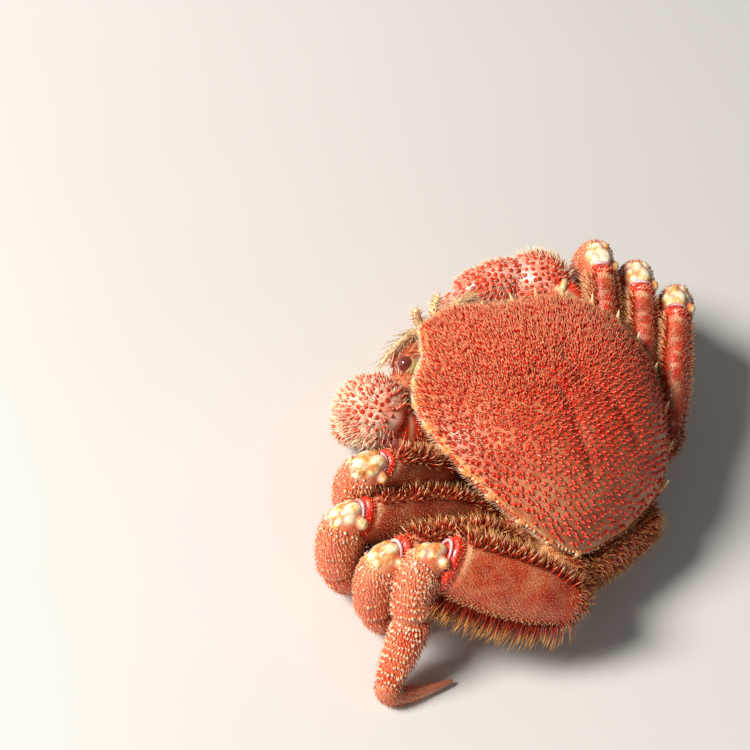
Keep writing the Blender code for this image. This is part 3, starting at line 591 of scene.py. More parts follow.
class Paint:
    """A node material with short calls for the nodes that the shells share."""

    def __init__(self, name, roughness, coat=0.0):
        self.material = bpy.data.materials.new(name)
        self.material.use_nodes = True
        self.nodes = self.material.node_tree.nodes
        self.link = self.material.node_tree.links.new
        self.shader = self.nodes["Principled BSDF"]
        self.feed(self.shader, {"Roughness": roughness, "Coat Weight": coat, "Coat Roughness": 0.12})
        self.place = self.nodes.new("ShaderNodeTexCoord").outputs["Object"]

    def noise(self, scale, detail=3):
        node = self.nodes.new("ShaderNodeTexNoise")
        self.feed(node, {"Scale": scale, "Detail": detail, "Roughness": 0.55, "Vector": self.place})
        return node.outputs["Fac"]

    def value(self, name):
        node = self.nodes.new("ShaderNodeAttribute")
        node.attribute_name = name
        return node.outputs["Fac"]

    def ramp(self, socket, stops):
        node = self.nodes.new("ShaderNodeValToRGB")
        band = node.color_ramp
        while len(band.elements) < len(stops):
            band.elements.new(0.5)
        for element, (at, colour) in zip(band.elements, stops):
            element.position = at
            element.color = linear(colour)
        self.feed(node, {"Fac": socket})
        return node.outputs["Color"]

    def feed(self, node, values):
        """Gives a node's sockets, by name or number, a colour, a number or a link each."""
        for key, given in values.items():
            socket = node.inputs[key]
            if isinstance(given, tuple):
                socket.default_value = linear(given)
            elif isinstance(given, (int, float)):
                socket.default_value = given
            else:
                self.link(given, socket)

    def mix(self, factor, below, above, kind="MIX"):
        node = self.nodes.new("ShaderNodeMix")
        node.data_type = "RGBA"
        node.blend_type = kind
        first, second = (i for i, socket in enumerate(node.inputs) if socket.type == "RGBA")
        self.feed(node, {first: below, second: above, "Factor": factor})
        return next(socket for socket in node.outputs if socket.type == "RGBA")

    def bump(self, height, distance):
        node = self.nodes.new("ShaderNodeBump")
        self.feed(node, {"Distance": distance, "Height": height})
        self.feed(self.shader, {"Normal": node.outputs["Normal"]})

    def finish(self, colour):
        self.feed(self.shader, {"Base Color": colour})
        return self.material


def markings(paint, deep, ground, light):
    """The shell's colours, shared by skin and coat: mottled ground, then the areas of other colours. The deep
    mark also carries painted shade on the back, and the pale mark a painted highlight on the legs.
    """
    colour = paint.ramp(paint.noise(PATCH_NOISE, 4), [(0.36, deep), (0.5, ground), (0.66, light)])
    colour = paint.mix(paint.value("deep"), colour, MAUVE_RED)
    colour = paint.mix(paint.value("red"), colour, RED)
    colour = paint.mix(paint.value("rim"), colour, paint.ramp(paint.noise(RIM_NOISE), RIM_STOPS))
    colour = paint.mix(paint.value("knee"), colour, paint.ramp(paint.noise(KNEE_NOISE), KNEE_STOPS))
    return paint.mix(paint.value("pale"), colour, CREAM)


def shell_paint(name, deep, ground, light, roughness=0.36, coat=0.35):
    paint = Paint(name, roughness, coat)
    colour = markings(paint, deep, ground, light)
    flecks = paint.ramp(paint.noise(FLECK_NOISE), [(0.52, OFF), (0.66, (150, 150, 150))])
    colour = paint.mix(flecks, colour, light)
    grains = paint.noise(GRAIN_NOISE, 2)
    speckle = paint.ramp(grains, [(0.4, (196, 184, 176)), (0.6, ON)])
    colour = paint.mix(0.5, colour, speckle, "MULTIPLY")
    paint.bump(grains, GRAIN_DEPTH * MM)
    return paint.finish(colour)


def coat_paint(name, deep, ground, light, tip, middle, turn=0.42):
    """Spines and bristles: the shell's colour at the root, middle along them, and tip at the end."""
    paint = Paint(name, 0.42, 0.15)
    root = markings(paint, deep, ground, light)
    along = paint.value("along")
    root = paint.mix(paint.ramp(along, [(0.0, OFF), (0.2, ON)]), root, middle)
    colour = paint.mix(paint.ramp(along, [(turn, OFF), (0.92, ON)]), root, tip)
    shade = paint.ramp(paint.value("tone"), [(0.0, (196, 176, 170)), (1.0, ON)])
    return paint.finish(paint.mix(0.6, colour, shade, "MULTIPLY"))


def eye_paint():
    paint = Paint("eye_gloss", 0.12, 0.8)
    return paint.finish(paint.ramp(paint.noise(EYE_NOISE), [(0.35, (84, 30, 26)), (0.65, (132, 58, 48))]))


BACK_PAINT = shell_paint("carapace_shell", *BACK_TONES, 0.48, 0.06)
LEG_PAINT = shell_paint("leg_shell", *LEG_TONES, 0.38, 0.25)
CLAW_PAINT = shell_paint("claw_shell", (230, 106, 76), (248, 188, 160), (255, 236, 224))
UNDER_PAINT = shell_paint("under_shell", (216, 108, 62), (236, 156, 100), (248, 202, 152), 0.4, 0.2)
KNEE_PAINT = shell_paint("knee_shell", (238, 150, 62), (252, 216, 138), (255, 244, 214), 0.3, 0.4)
ARC_PAINT = shell_paint("joint_arc", (214, 140, 140), (232, 176, 184), (246, 214, 222), 0.26, 0.5)
SCALE_COAT = coat_paint("cream_scales", *LEG_TONES, WHITE, (246, 176, 112), 0.2)
ORBIT_PAINT = shell_paint("orbit_skin", (196, 178, 112), (222, 206, 148), (242, 230, 188), 0.3, 0.4)
BACK_COAT = coat_paint("carapace_spines", *BACK_TONES, PEACH, RED, 0.6)
# The setae's dark red middle is partly their own red and partly painted shade between the close-standing
# bristles
SETA_COAT = coat_paint("carapace_setae", *BACK_TONES, PEACH, (206, 42, 22), 0.52)
LEG_COAT = coat_paint("leg_spines", *LEG_TONES, CREAM, (226, 62, 28), 0.38)
BRISTLE_COAT = coat_paint("bristles", DEEP_RED, (190, 62, 30), ORANGE_RED, GOLD, (170, 52, 26), 0.46)
PALE_COAT = coat_paint("pale_bristles", *LEG_TONES, CREAM, (230, 112, 60), 0.26)
HAIR_COAT = coat_paint("head_hairs", (244, 128, 60), (252, 186, 104), (255, 214, 140), (255, 244, 216),
                       (255, 230, 178), 0.2)
TOOTH_PAINT = coat_paint("margin_teeth", *BACK_TONES, CREAM, RIM_ORANGE, 0.2)
EYE_PAINT = eye_paint()


# Coats: roots spread over a surface, then spikes on them

def path_length(points):
    return np.linalg.norm(np.diff(points, axis=0), axis=1).sum()


def limb_roots(surface, spacing, u_span, v_span):
    """Roots in staggered rows across a limb; spacing is one distance, or one along it and one across it."""
    row_gap, gap = np.broadcast_to(spacing, 2)
    (u_low, u_high), (v_low, v_high) = u_span, v_span
    along = np.linspace(u_low, u_high, 30)
    length = path_length(surface(along, 0.0) / 2 + surface(along, 0.5) / 2)
    rows = max(2, int(round(length / row_gap)))
    u_all, v_all = [], []
    for i in range(rows):
        u = u_low + (u_high - u_low) * (i + 0.5) / rows
        count = max(1, int(round(path_length(surface(u, np.linspace(v_low, v_high, 25))) / gap)))
        u_all.append(np.full(count, u))
        v_all.append(v_low + (v_high - v_low) * (np.arange(count) + 0.25 + 0.5 * (i % 2)) / count)
    u, v = np.concatenate(u_all), np.concatenate(v_all)
    loose = 0.3 * gap / length
    u = np.clip(u + RNG.uniform(-loose, loose, len(u)) * (u_high - u_low), 0.01, 0.99)
    return u, v + RNG.uniform(-0.006, 0.006, len(v))


def varied(value, share, count):
    """Values that differ at random by up to a share of themselves."""
    return np.broadcast_to(value, count) * (1 + RNG.uniform(-share, share, count))


def coat_on(roots, normals, along, length, radius, lean, uv, form, marks, bend=0.0, droop=0.0):
    """Spikes on given roots: leaning along the limb, a little loose, bent on along it and down."""
    count = len(roots)
    axes = unit(normals + along * lean + RNG.normal(0, AXIS_LOOSE, (count, 3)))
    bends = along * bend + np.array([0, 0, -droop]) + RNG.normal(0, BEND_LOOSE, (count, 3)) * (bend > 0)
    lengths = varied(length, LENGTH_SPREAD, count)
    radii = varied(radius, RADIUS_SPREAD, count)
    marks = dict(marks, tone=RNG.uniform(0, 1, count))
    low = roots[:, 2] + np.minimum(axes[:, 2] + np.minimum(bends[:, 2], 0), 0) * lengths - radii
    keep = low > FLOOR_CLEAR
    marks = {name: np.broadcast_to(value, count)[keep] for name, value in marks.items()}
    return spike_part(roots[keep], axes[keep], lengths[keep], radii[keep], bends[keep], form, uv[keep], marks)


class Coat:
    """Gathers the spines and bristles of a limb; each segment has its own strip of the unwrap."""

    def __init__(self, strips):
        self.strips = strips
        self.strip = 0
        self.groups = {"spine": [], "bristle": [], "pale": [], "scale": []}

    def grow(self, surface, rows):
        """Spines and bristles on the next segment; each row holds the values that add takes."""
        for row in rows:
            self.add(surface, *row)
        self.strip += 1

    def add(self, surface, kind, spacing, length, radius, u_span, v_span, lean=0.5, red=0.7, pale=0.0,
            deep=0.0, grown=1.0, facing=None):
        u, v = limb_roots(surface, spacing, u_span, v_span)
        kept = RNG.uniform(0, 1, len(u)) < grown
        u, v = u[kept], v[kept]
        points, normals, along = frames(surface, u, v)
        if facing is not None:
            chosen = normals @ unit(facing) > LEAST_FACING
            points, normals, along, u, v = (rows[chosen] for rows in (points, normals, along, u, v))
        uv = np.stack([(self.strip + inset(np.mod(v, 1), COAT_EDGE)) / self.strips, inset(u, COAT_EDGE)], -1)
        if kind == "scale":
            size = RNG.uniform(1 - SCALE_SPREAD, 1 + SCALE_SPREAD, len(u))
            length, radius = length * size, radius * size
        bend, droop = (SOFT_BEND, SOFT_DROOP) if kind in ("bristle", "pale") else (0.0, 0.0)
        marks = {"red": red, "pale": pale, "deep": deep, "rim": 0.0}
        part = coat_on(points, normals, along, length, radius, lean, uv, kind, marks, bend, droop)
        self.groups.get(kind, self.groups["spine"]).append(part)

    def finish(self, stem, pale_paint=PALE_COAT):
        endings = ("_spines", "_bristles", "_pale_bristles", "_scales")
        paints = (LEG_COAT, BRISTLE_COAT, pale_paint, SCALE_COAT)
        for parts, ending, paint in zip(self.groups.values(), endings, paints):
            if parts:
                make_coat(stem + ending, parts, paint)


# The crab's pieces

def back_marks(x, y):
    """The markings of the back, for the skin and for what grows on it, with painted shade in its deep mark.
    """
    share = margin_share(x, y)
    groove = sum(np.exp(-(polyline_distance(np.abs(x), y, points) / (1.3 * width)) ** 2)
                 for points, _, width in GROOVES)
    centre = np.exp(-((x + 2) / 24) ** 2 - ((y - 6) / 24) ** 2)
    bare = smoothstep(0.4, 0.75, share) * (1 - smoothstep(5, 28, y))
    # deep: darker in the grooves, which is painted shade; darker in the middle, partly the back's own deeper
    # red and partly painted shade; darker towards the front, which is painted shade
    deep = 0.45 * np.clip(groove, 0, 1) + 0.32 * centre + 0.2 * smoothstep(5, 30, y)
    return {"rim": 0.6 * smoothstep(0.972, 0.997, share), "red": 0.3 * centre, "pale": 0.12 * bare,
            "deep": deep * (1 - smoothstep(0.9, 0.98, share))}


def carapace_marks(u, v):
    """The back's markings, the rim's carried on over the margin, and a darker wall."""
    x, y, _ = np.moveaxis(carapace_surface(u, v), -1, 0)
    marks = {name: value * (u < WALL_START) for name, value in back_marks(x, y).items()}
    below = u - WALL_START
    marks["rim"] = marks["rim"] + (below >= 0) * (1 - smoothstep(0.02, 0.08, below))
    marks["deep"] = marks["deep"] + 0.45 * smoothstep(0.06, 0.16, below)
    return marks


def build_carapace():
    make_skin("carapace", [tube_part(carapace_surface, 144, 288, carapace_marks)], BACK_PAINT)


def back_roots():
    """Places (x, y) on a loose triangular grid over the back."""
    columns = np.arange(*BACK_SPANS[0], SPINE_PITCH)
    rows = np.arange(*BACK_SPANS[1], SPINE_PITCH * TRIANGLE_ROWS)
    x = np.concatenate([columns + SPINE_PITCH / 2 * (i % 2) for i in range(len(rows))])
    y = np.repeat(rows, len(columns))
    x = x + RNG.uniform(-0.24, 0.24, len(x)) * SPINE_PITCH
    y = y + RNG.uniform(-0.24, 0.24, len(y)) * SPINE_PITCH
    inside = margin_share(x, y) < 0.985
    return x[inside], y[inside]


def back_frames(x, y, step=0.1):
    z = back_height(x, y)
    slope_x = (back_height(x + step, y) - back_height(x - step, y)) / (2 * step)
    slope_y = (back_height(x, y + step) - back_height(x, y - step)) / (2 * step)
    normals = unit(np.stack([-slope_x, -slope_y, np.ones_like(z)], -1))
    return np.stack([x, y, z], -1), normals


def back_lean(x, y):
    """Which way the spines of the back lean: forward in front, and outward near the margin."""
    share = margin_share(x, y)[:, None]
    outward = unit(np.stack([x, y, np.zeros_like(x)], -1) + 1e-6)
    forward = FORWARD * (0.12 + 0.6 * smoothstep(-20, 30, y))[:, None]
    return forward + outward * (0.05 + 0.35 * share ** 1.5)


def plan_uv(points):
    """The back unwrapped as seen from above."""
    return 0.5 + points[:, :2] / PLAN_WIDTH


def coat_on_back(x, y, size, radius, form, red, bend=0.0):
    """Spikes on the back, longer to the front and near the margin by the three shares of size."""
    points, normals = back_frames(x, y)
    length = size[0] + size[1] * smoothstep(-25, 15, y) + size[2] * smoothstep(0.75, 1.0, margin_share(x, y))
    return coat_on(points, normals, back_lean(x, y), length, radius, 1.0, plan_uv(points), form,
                   dict(back_marks(x, y), red=red), bend)


def build_back_coat():
    x, y = back_roots()
    radius = 0.45 - 0.09 * smoothstep(-15, 15, y)
    make_coat("carapace_spines", [coat_on_back(x, y, (0.9, 1.2, 0.9), radius, "tubercle", 1.0)], BACK_COAT)
    turn = RNG.uniform(0, 2 * math.pi, len(x) * SETAE_PER_SPINE)
    far = RNG.uniform(0.3, 0.55, len(turn)) * SPINE_PITCH
    x = np.repeat(x, SETAE_PER_SPINE) + far * np.cos(turn)
    y = np.repeat(y, SETAE_PER_SPINE) + far * np.sin(turn)
    grown = RNG.uniform(0, 1, len(x)) < smoothstep(-34, 12, y)
    inside = grown & (margin_share(x, y) < 0.99)
    for half, name in ((y >= SETAE_SPLIT_Y, "front"), (y < SETAE_SPLIT_Y, "rear")):
        chosen = inside & half
        setae = coat_on_back(x[chosen], y[chosen], (0.8, 0.8, 1.2), 0.19, "bristle", 0.6, 0.25)
        make_coat("carapace_setae_" + name, [setae], SETA_COAT)


def margin_teeth():
    """Roots, axes and lengths of the teeth; those of the sides lean forward along the margin."""
    half = curve_points(HALF_OUTLINE, OUTLINE_STEPS + 1)
    rows = []
    for sign in (-1, 1):
        for at, length in MARGIN_TEETH:
            i = round(at * OUTLINE_STEPS)
            along = unit(np.append(half[i - 1] - half[i + 1], 0))
            out = np.array([-along[1], along[0], 0])
            out = out if out[:2] @ half[i] > 0 else -out
            side = smoothstep(0.2, 0.4, at)
            rise, longer = (0.9 * side, 1.7) if sign == 1 else (0.3, 1)
            root = np.append(half[i], margin_height(half[i, 1]) - 0.6)
            axis = unit(out * (1 - 0.45 * side) + along * (0.2 + 0.55 * side) + UP * rise)
            rows.append((mirrored(root, sign), mirrored(axis, sign), length * longer))
    return (np.array(column) for column in zip(*rows))


def build_teeth():
    """The teeth of the margin, with small spines on them."""
    roots, axes, lengths = margin_teeth()
    teeth = spike_part(roots, axes, lengths, np.full(len(roots), TOOTH_RADIUS), UP * 0.15, "tooth",
                       plan_uv(roots), {"rim": 0.9, "pale": 0.25, "tone": 1.0})
    pick = np.repeat(np.arange(len(roots)), TOOTH_SPIKES)
    share = RNG.uniform(0.0, 0.7, len(pick))[:, None]
    turn = RNG.uniform(0, 2 * math.pi, len(pick))[:, None]
    roots, axes = roots[pick], axes[pick]
    side = unit(np.cross(axes, UP))
    out = np.cos(turn) * side + np.sin(turn) * np.cross(axes, side)
    places = roots + axes * lengths[pick][:, None] * share + out * TOOTH_RADIUS * 0.85 * (1 - share)
    spikes = coat_on(places, out, axes, 1.1, 0.24, 1.2, plan_uv(places), "spine", {"rim": 0.6, "pale": 0.3})
    make_coat("carapace_teeth", [teeth, spikes], TOOTH_PAINT)


def build_beads():
    """Small pale knobs along the margin."""
    v = np.arange(BEADS) / BEADS
    points, normals, _ = frames(carapace_surface, np.full(BEADS, WALL_START - 0.004), v)
    size = RNG.uniform(0.1, 1.1, BEADS)
    beads = coat_on(points, normals, UP, 0.9 * size, 0.8 * size, 0.2, plan_uv(points), "bead",
                    {"rim": 1.0, "pale": 0.3})
    make_coat("carapace_beads", [beads], TOOTH_PAINT)


def build_fringe():
    """Rows of small spines and of hairs along the margin."""
    v = np.linspace(0, 1, HAIRS_IN_ROW, endpoint=False)
    for name, kind, radius, rows, paint in (
            ("carapace_margin", "spine", 0.3, MARGIN_SPINES, BACK_COAT),
            ("carapace_fringe", "bristle", 0.12, MARGIN_HAIRS, HAIR_COAT)):
        parts = []
        for below, length in rows:
            places = v + RNG.uniform(-0.001, 0.001, len(v))
            points, normals, _ = frames(carapace_surface, np.full(len(v), WALL_START + below), places)
            ahead = unit(FORWARD - normals * normals[:, 1:2])
            reach = length * (0.6 + 0.4 * smoothstep(-10, 30, points[:, 1]))
            parts.append(coat_on(points, normals, ahead, reach, radius, 0.5, plan_uv(points), kind,
                                 {"rim": 0.6, "red": 0.5, "deep": 0.0}))
        make_coat(name, parts, paint)


def rear_surface(u, v):
    """The hind end of the body, which fills the fold of the abdomen."""
    u, v = spans(u, v)
    polar, turn = math.pi * np.clip(u, 0.01, 0.99), 2 * math.pi * v
    size = np.sin(polar) ** 0.25
    return np.stack([REAR_HALF[0] * np.cos(polar), REAR_CENTRE[0] - REAR_HALF[1] * size * np.cos(turn),
                     REAR_CENTRE[1] - REAR_HALF[2] * size * np.sin(turn)], -1)


def thorax_surface(u, v):
    u, v = spans(u, v)
    y, half, low = np.moveaxis(read_at(u, THORAX_LINE), -1, 0)
    size = np.sqrt(np.clip(u / 0.06, 0.001, 1)) * np.sqrt(np.clip((1 - u) / 0.06, 0.001, 1))
    top = BODY_SPLIT_Z + 1.5
    turn = 2 * math.pi * v
    depth = np.where(np.sin(turn) < 0, top - low, 1.0) * np.abs(np.sin(turn)) ** 0.8 * np.sign(np.sin(turn))
    return np.stack([-half * size * np.cos(turn), y, top + depth * size], -1)


def build_thorax():
    parts = [tube_part(thorax_surface, 60, 64), tube_part(rear_surface, 60, 40)]
    coat = Coat(len(SIDES) * len(COXA_CENTRES))
    for side, sign in SIDES:
        for number, centre in COXA_CENTRES.items():
            at = mirrored(centre, sign)
            base = np.array(ARM_JOINTS[side][0] if number == 1 else LEG_JOINTS[side, number][0], float)
            toward = unit(base - at)
            line = np.linspace(at - toward * 6, base + toward * 2, 33)
            coxa = limb_surface(line, (COXA_RADII[number],) * 2, COXA_PROFILE, (0, 1, 0.1), (0.2, 0.2))
            parts.append(tube_part(coxa, 28, 28))
            coat.grow(coxa, [("spine", 2.3, 3.4, 0.36, (0.5, 0.97), AROUND, 0.4, 0.5),
                             ("bristle", 1.4, 4.0, 0.17, (0.3, 0.97), AROUND, 0.3)])
    make_skin("thorax", parts, UNDER_PAINT)
    coat.finish("thorax")


def abdomen_surface(u, v):
    """The folded plate, with a seam between its segments."""
    u, v = spans(u, v)
    out = np.cross(unit(read_at(u, ABDOMEN_TANGENTS)), AXES[0])
    half = read_at(u, ABDOMEN_LINE)[..., 2]
    turn = 2 * math.pi * v
    seam = 1 - 0.22 * np.exp(-((np.mod(u * 7, 1) - 0.5) / 0.09) ** 2)
    rise = ABDOMEN_THICK / 2 * np.sin(turn) * seam * (1.05 - 0.35 * np.abs(np.cos(turn)) ** 6)
    across = (-half * np.cos(turn))[..., None] * AXES[0]
    return read_at(u, ABDOMEN_CENTRES) + across + out * rise[..., None]


def build_abdomen():
    part = tube_part(abdomen_surface, 140, 48, lambda u, v: {"deep": 0.7 * (1 - smoothstep(0.24, 0.4, u))})
    make_skin("abdomen", [part], UNDER_PAINT)
    outer = (0.03, 0.47)
    rows = [("spine", 2.0, 3.0, 0.36, (0.02, 0.35), outer, 0.3, 0.6, 0, 0.4),
            ("bristle", 1.0, 4.2, 0.19, (0.0, 0.42), outer, 0.3, 0.7, 0, 0.3),
            ("bristle", 1.3, 2.4, 0.14, (0.42, 0.97), outer, 0.5, 0.3, 0, 0.3)]
    for edge in ((-0.03, 0.05), (0.45, 0.53)):
        rows += [("spine", 1.4, 3.4, 0.36, (0.02, 0.5), edge, 0.2, 0.2, 0.1, 0.4),
                 ("bristle", 0.9, 4.6, 0.19, (0.0, 0.97), edge, 0.2, 0.7, 0, 0.3)]
    coat = Coat(1)
    coat.grow(abdomen_surface, rows)
    coat.finish("abdomen")


def build_leg(side, sign, number):
    thin, (merus_line, carpus_line, propodus_line, dactyl) = leg_lines(settled_joints(side, number), number)
    share, hind, stem = SKIN_SHARE[number], -sign, "leg" + str(number) + "_"
    merus = limb_surface(merus_line, (MERUS_BROAD[number], MERUS_THIN), MERUS_PROFILE, thin, (0.08, 0.06),
                         [(0.955, 0.03, 0.14), (0.885, 0.02, -0.06)])
    carpus = knobbed(limb_surface(carpus_line, np.array(CARPUS_HALF) * share, CARPUS_PROFILE, thin,
                                  (0.12, 0.08), [(0.93, 0.02, -0.08)]), hind)
    propodus = limb_surface(propodus_line, np.array(PROPODUS_HALF) * share, PROPODUS_PROFILE, thin,
                            (0.08, 0.08))
    finger = limb_surface(dactyl, DACTYL_HALF, DACTYL_PROFILE, thin, (0.1, 0.03))
    dark = 0.0 if number == 5 else 0.4
    for part, surface, rows, columns, marks in (
            ("merus", merus, 96, 48, merus_marks(side, dark)),
            ("carpus", carpus, 100, 76, carpus_marks(hind)),
            ("propodus", propodus, 64, 40, {"red": 0.25}),
            ("dactyl", finger, 50, 28, {"pale": 0.25})):
        make_skin(stem + part + "_" + side, [tube_part(surface, rows, columns, marks)], LEG_PAINT)
    build_arc(side, number, merus)
    coat = Coat(4)
    coat.grow(merus, merus_rows(side, number, dark))
    scaly, broad = (0.85, 1.2) if number == 5 else (0.5, 1.0)
    coat.grow(carpus, [
        ("scale", 1.5, 0.9, 0.36, (0.3, 0.42), (-0.28, 0.28), 1.0, 0.7, 0, 0, 0.8),
        ("scale", (2.3, 1.15), 0.9, 0.42 * broad, (0.4, 0.9), (-0.3, 0.3), 1.5, 0.7, 0, 0, scaly),
        ("pale", 1.25, 1.5, 0.17, (0.34, 0.96), AROUND, 0.9),
        ("pale", 1.5, 1.2, 0.15, (0.06, 0.36), (0.2, 0.8), 0.9),
        ("pale", 1.2, 2.2, 0.18, (0.1, 0.96), (0.42, 0.62), 0.6)])
    coat.grow(propodus, [
        ("scale", (2.3, 1.15), 0.9, 0.4 * broad, (0.05, 0.95), (-0.3, 0.3), 1.5, 0.7, 0, 0, scaly),
        ("pale", 1.25, 1.5, 0.15, (0.05, 0.97), AROUND, 0.9)])
    coat.grow(finger, [
        ("spine", 1.7, 1.3, 0.26, (0.05, 0.7), AROUND, 1.2),
        ("pale", 1.3, 1.6, 0.12, (0.05, 0.8), AROUND, 1.2)])
    coat.finish(stem + side)


def merus_rows(side, number, dark):
    """The coat of a merus: short hairs all over, a red collar, and long bristles above and below."""
    if side == LEFT:
        ruddy, hairs, upper, reach, shaded = 0.4, 1.0, (-0.08, 0.08), 1.3 if number == 5 else 1.0, []
    else:
        ruddy, hairs, upper, reach = 0.85, 0.5, (0.08, 0.2), 0.7
        shaded = [("bristle", 1.2, 2.6, 0.16, (0.08, 0.88), (-0.22, -0.13), 0.4, 0.4, 0, 0.8),
                  ("pale", 1.0, 3.8, 0.18, (0.08, 0.9), (0.1, 0.22), 0.5)]
    return [
        ("bristle", 1.5, 0.9, 0.12, (0.1, 0.86), AROUND, 1.5, ruddy, 0, dark),
        ("pale", 1.1, 1.0, 0.13, (0.1, 0.87), AROUND, 1.6, ruddy, 0, dark, hairs),
        *shaded,
        ("spine", 1.2, 1.4, 0.3, (0.89, 0.975), AROUND, 1.1, 1.0, 0, 0, 0.8),
        ("spine", 1.9, 4.6 * reach, 0.44, (0.08, 0.88), upper, 0.35, 0.6, 0, 0.3),
        ("bristle", 1.15, 5.0 * reach, 0.2, (0.08, 0.86), upper, 0.35),
        ("pale", 1.2, 1.6, 0.2, (0.08, 0.9), (0.37, 0.42), 0.8),
        ("pale", 1.2, 1.6, 0.2, (0.08, 0.9), (0.58, 0.63), 0.8),
        ("bristle", 0.95, 6.8 * reach, 0.22, (0.01, 0.9), (0.42, 0.58), 0.25),
        ("bristle", 1.2, 3.6, 0.2, (0.0, 0.12), AROUND, -0.3, 0.5, 0, 0.3)]


def merus_marks(side, dark):
    """A red collar and a painted highlight before it; the right legs are mottled, with a pale streak."""
    patch, streak, mottled, blotched = (0.12, 0, 0, 0.1) if side == LEFT else (0, 0.4, 0.7, 0)

    def marks(u, v):
        # Painted highlight: a pale spot just before the red collar; patch gives its place round the limb,
        # which differs between the sides
        pale = 0.6 * np.exp(-((u - 0.86) / 0.022) ** 2 - (turn_from(v, patch) / 0.11) ** 2)
        pale = pale + streak * spots(u) * np.exp(-(turn_from(v, 0.03 * np.sin(31 * u)) / 0.04) ** 2)
        return {"red": np.maximum(smoothstep(0.88, 0.92, u), mottled * mottle(u, v)),
                "pale": pale + blotched * mottle(u, v + 0.4),
                "deep": dark * (1 - smoothstep(0.75, 0.85, u))}

    return marks


def carpus_marks(hind):
    """The knee's pale lobes, and a pale band at the far end."""
    def marks(u, v):
        return {"red": 0.3 * smoothstep(0.3, 0.6, u),
                "pale": 0.12 + 0.5 * np.exp(-((u - 0.93) / 0.02) ** 2),
                "knee": knee_relief(u, v, hind, np.ones(len(KNEE_LOBES)), KNEE_SPREAD)}
    return marks


def mottle(u, v):
    """Irregular marks along and round a limb, 0 to 1."""
    wave = np.sin(34 * u + 2.2 * np.sin(14 * math.pi * v)) + np.sin(13 * u + 6 * math.pi * v + 1.0)
    return smoothstep(0.1, 1.0, wave)


def spots(u):
    """A row of uneven spots along a limb, 0 to 1."""
    return smoothstep(0.1, 1.0, np.sin(44 * u + 2.5 * np.sin(11 * u)))


def turn_from(v, at):
    """How far v is from a place round a limb, as a share of the turn with its sign."""
    return np.mod(v - at + 0.5, 1) - 0.5


def knee_relief(u, v, hind, heights, wider=1.0):
    """The lobes that stand on the carpus where it turns on the merus."""
    relief = np.zeros(np.broadcast(u, v).shape)
    for (at, around, long, wide), height in zip(KNEE_LOBES, heights):
        far = (((u - at) / long) ** 2 + (turn_from(v, around * hind) / wide) ** 2) / wider ** 2
        relief = np.maximum(relief, height * np.exp(-far ** 2))
    return relief


def knobbed(surface, hind):
    """The carpus with the knee's lobes on it."""
    def raised(u, v):
        points, normals, _ = frames(surface, u, v)
        return points + normals * knee_relief(u, v, hind, LOBE_HEIGHTS)[..., None]
    return raised


def build_arc(side, number, merus):
    """The joint's soft skin at the end of the merus, and its smooth rim."""
    end = merus(1.0, np.linspace(0, 1, 16)).mean(0)
    ahead = unit(end - merus(0.9, np.linspace(0, 1, 16)).mean(0))
    rim = merus(0.955, np.linspace(-0.18, 0.18, 33)) + ahead * 1.4
    rim = end + ahead + (rim - end - ahead) * 0.88
    arc = limb_surface(rim, (0.65, 0.65), [(0, 0.5), (0.3, 1.0), (0.7, 1.0), (1, 0.5)], ahead, (0.1, 0.1))
    make_piece("leg" + str(number) + "_arc_" + side,
               [tube_part(arc, 40, 14), tube_part(ball_surface(end, 4.6), 20, 28)], ARC_PAINT)


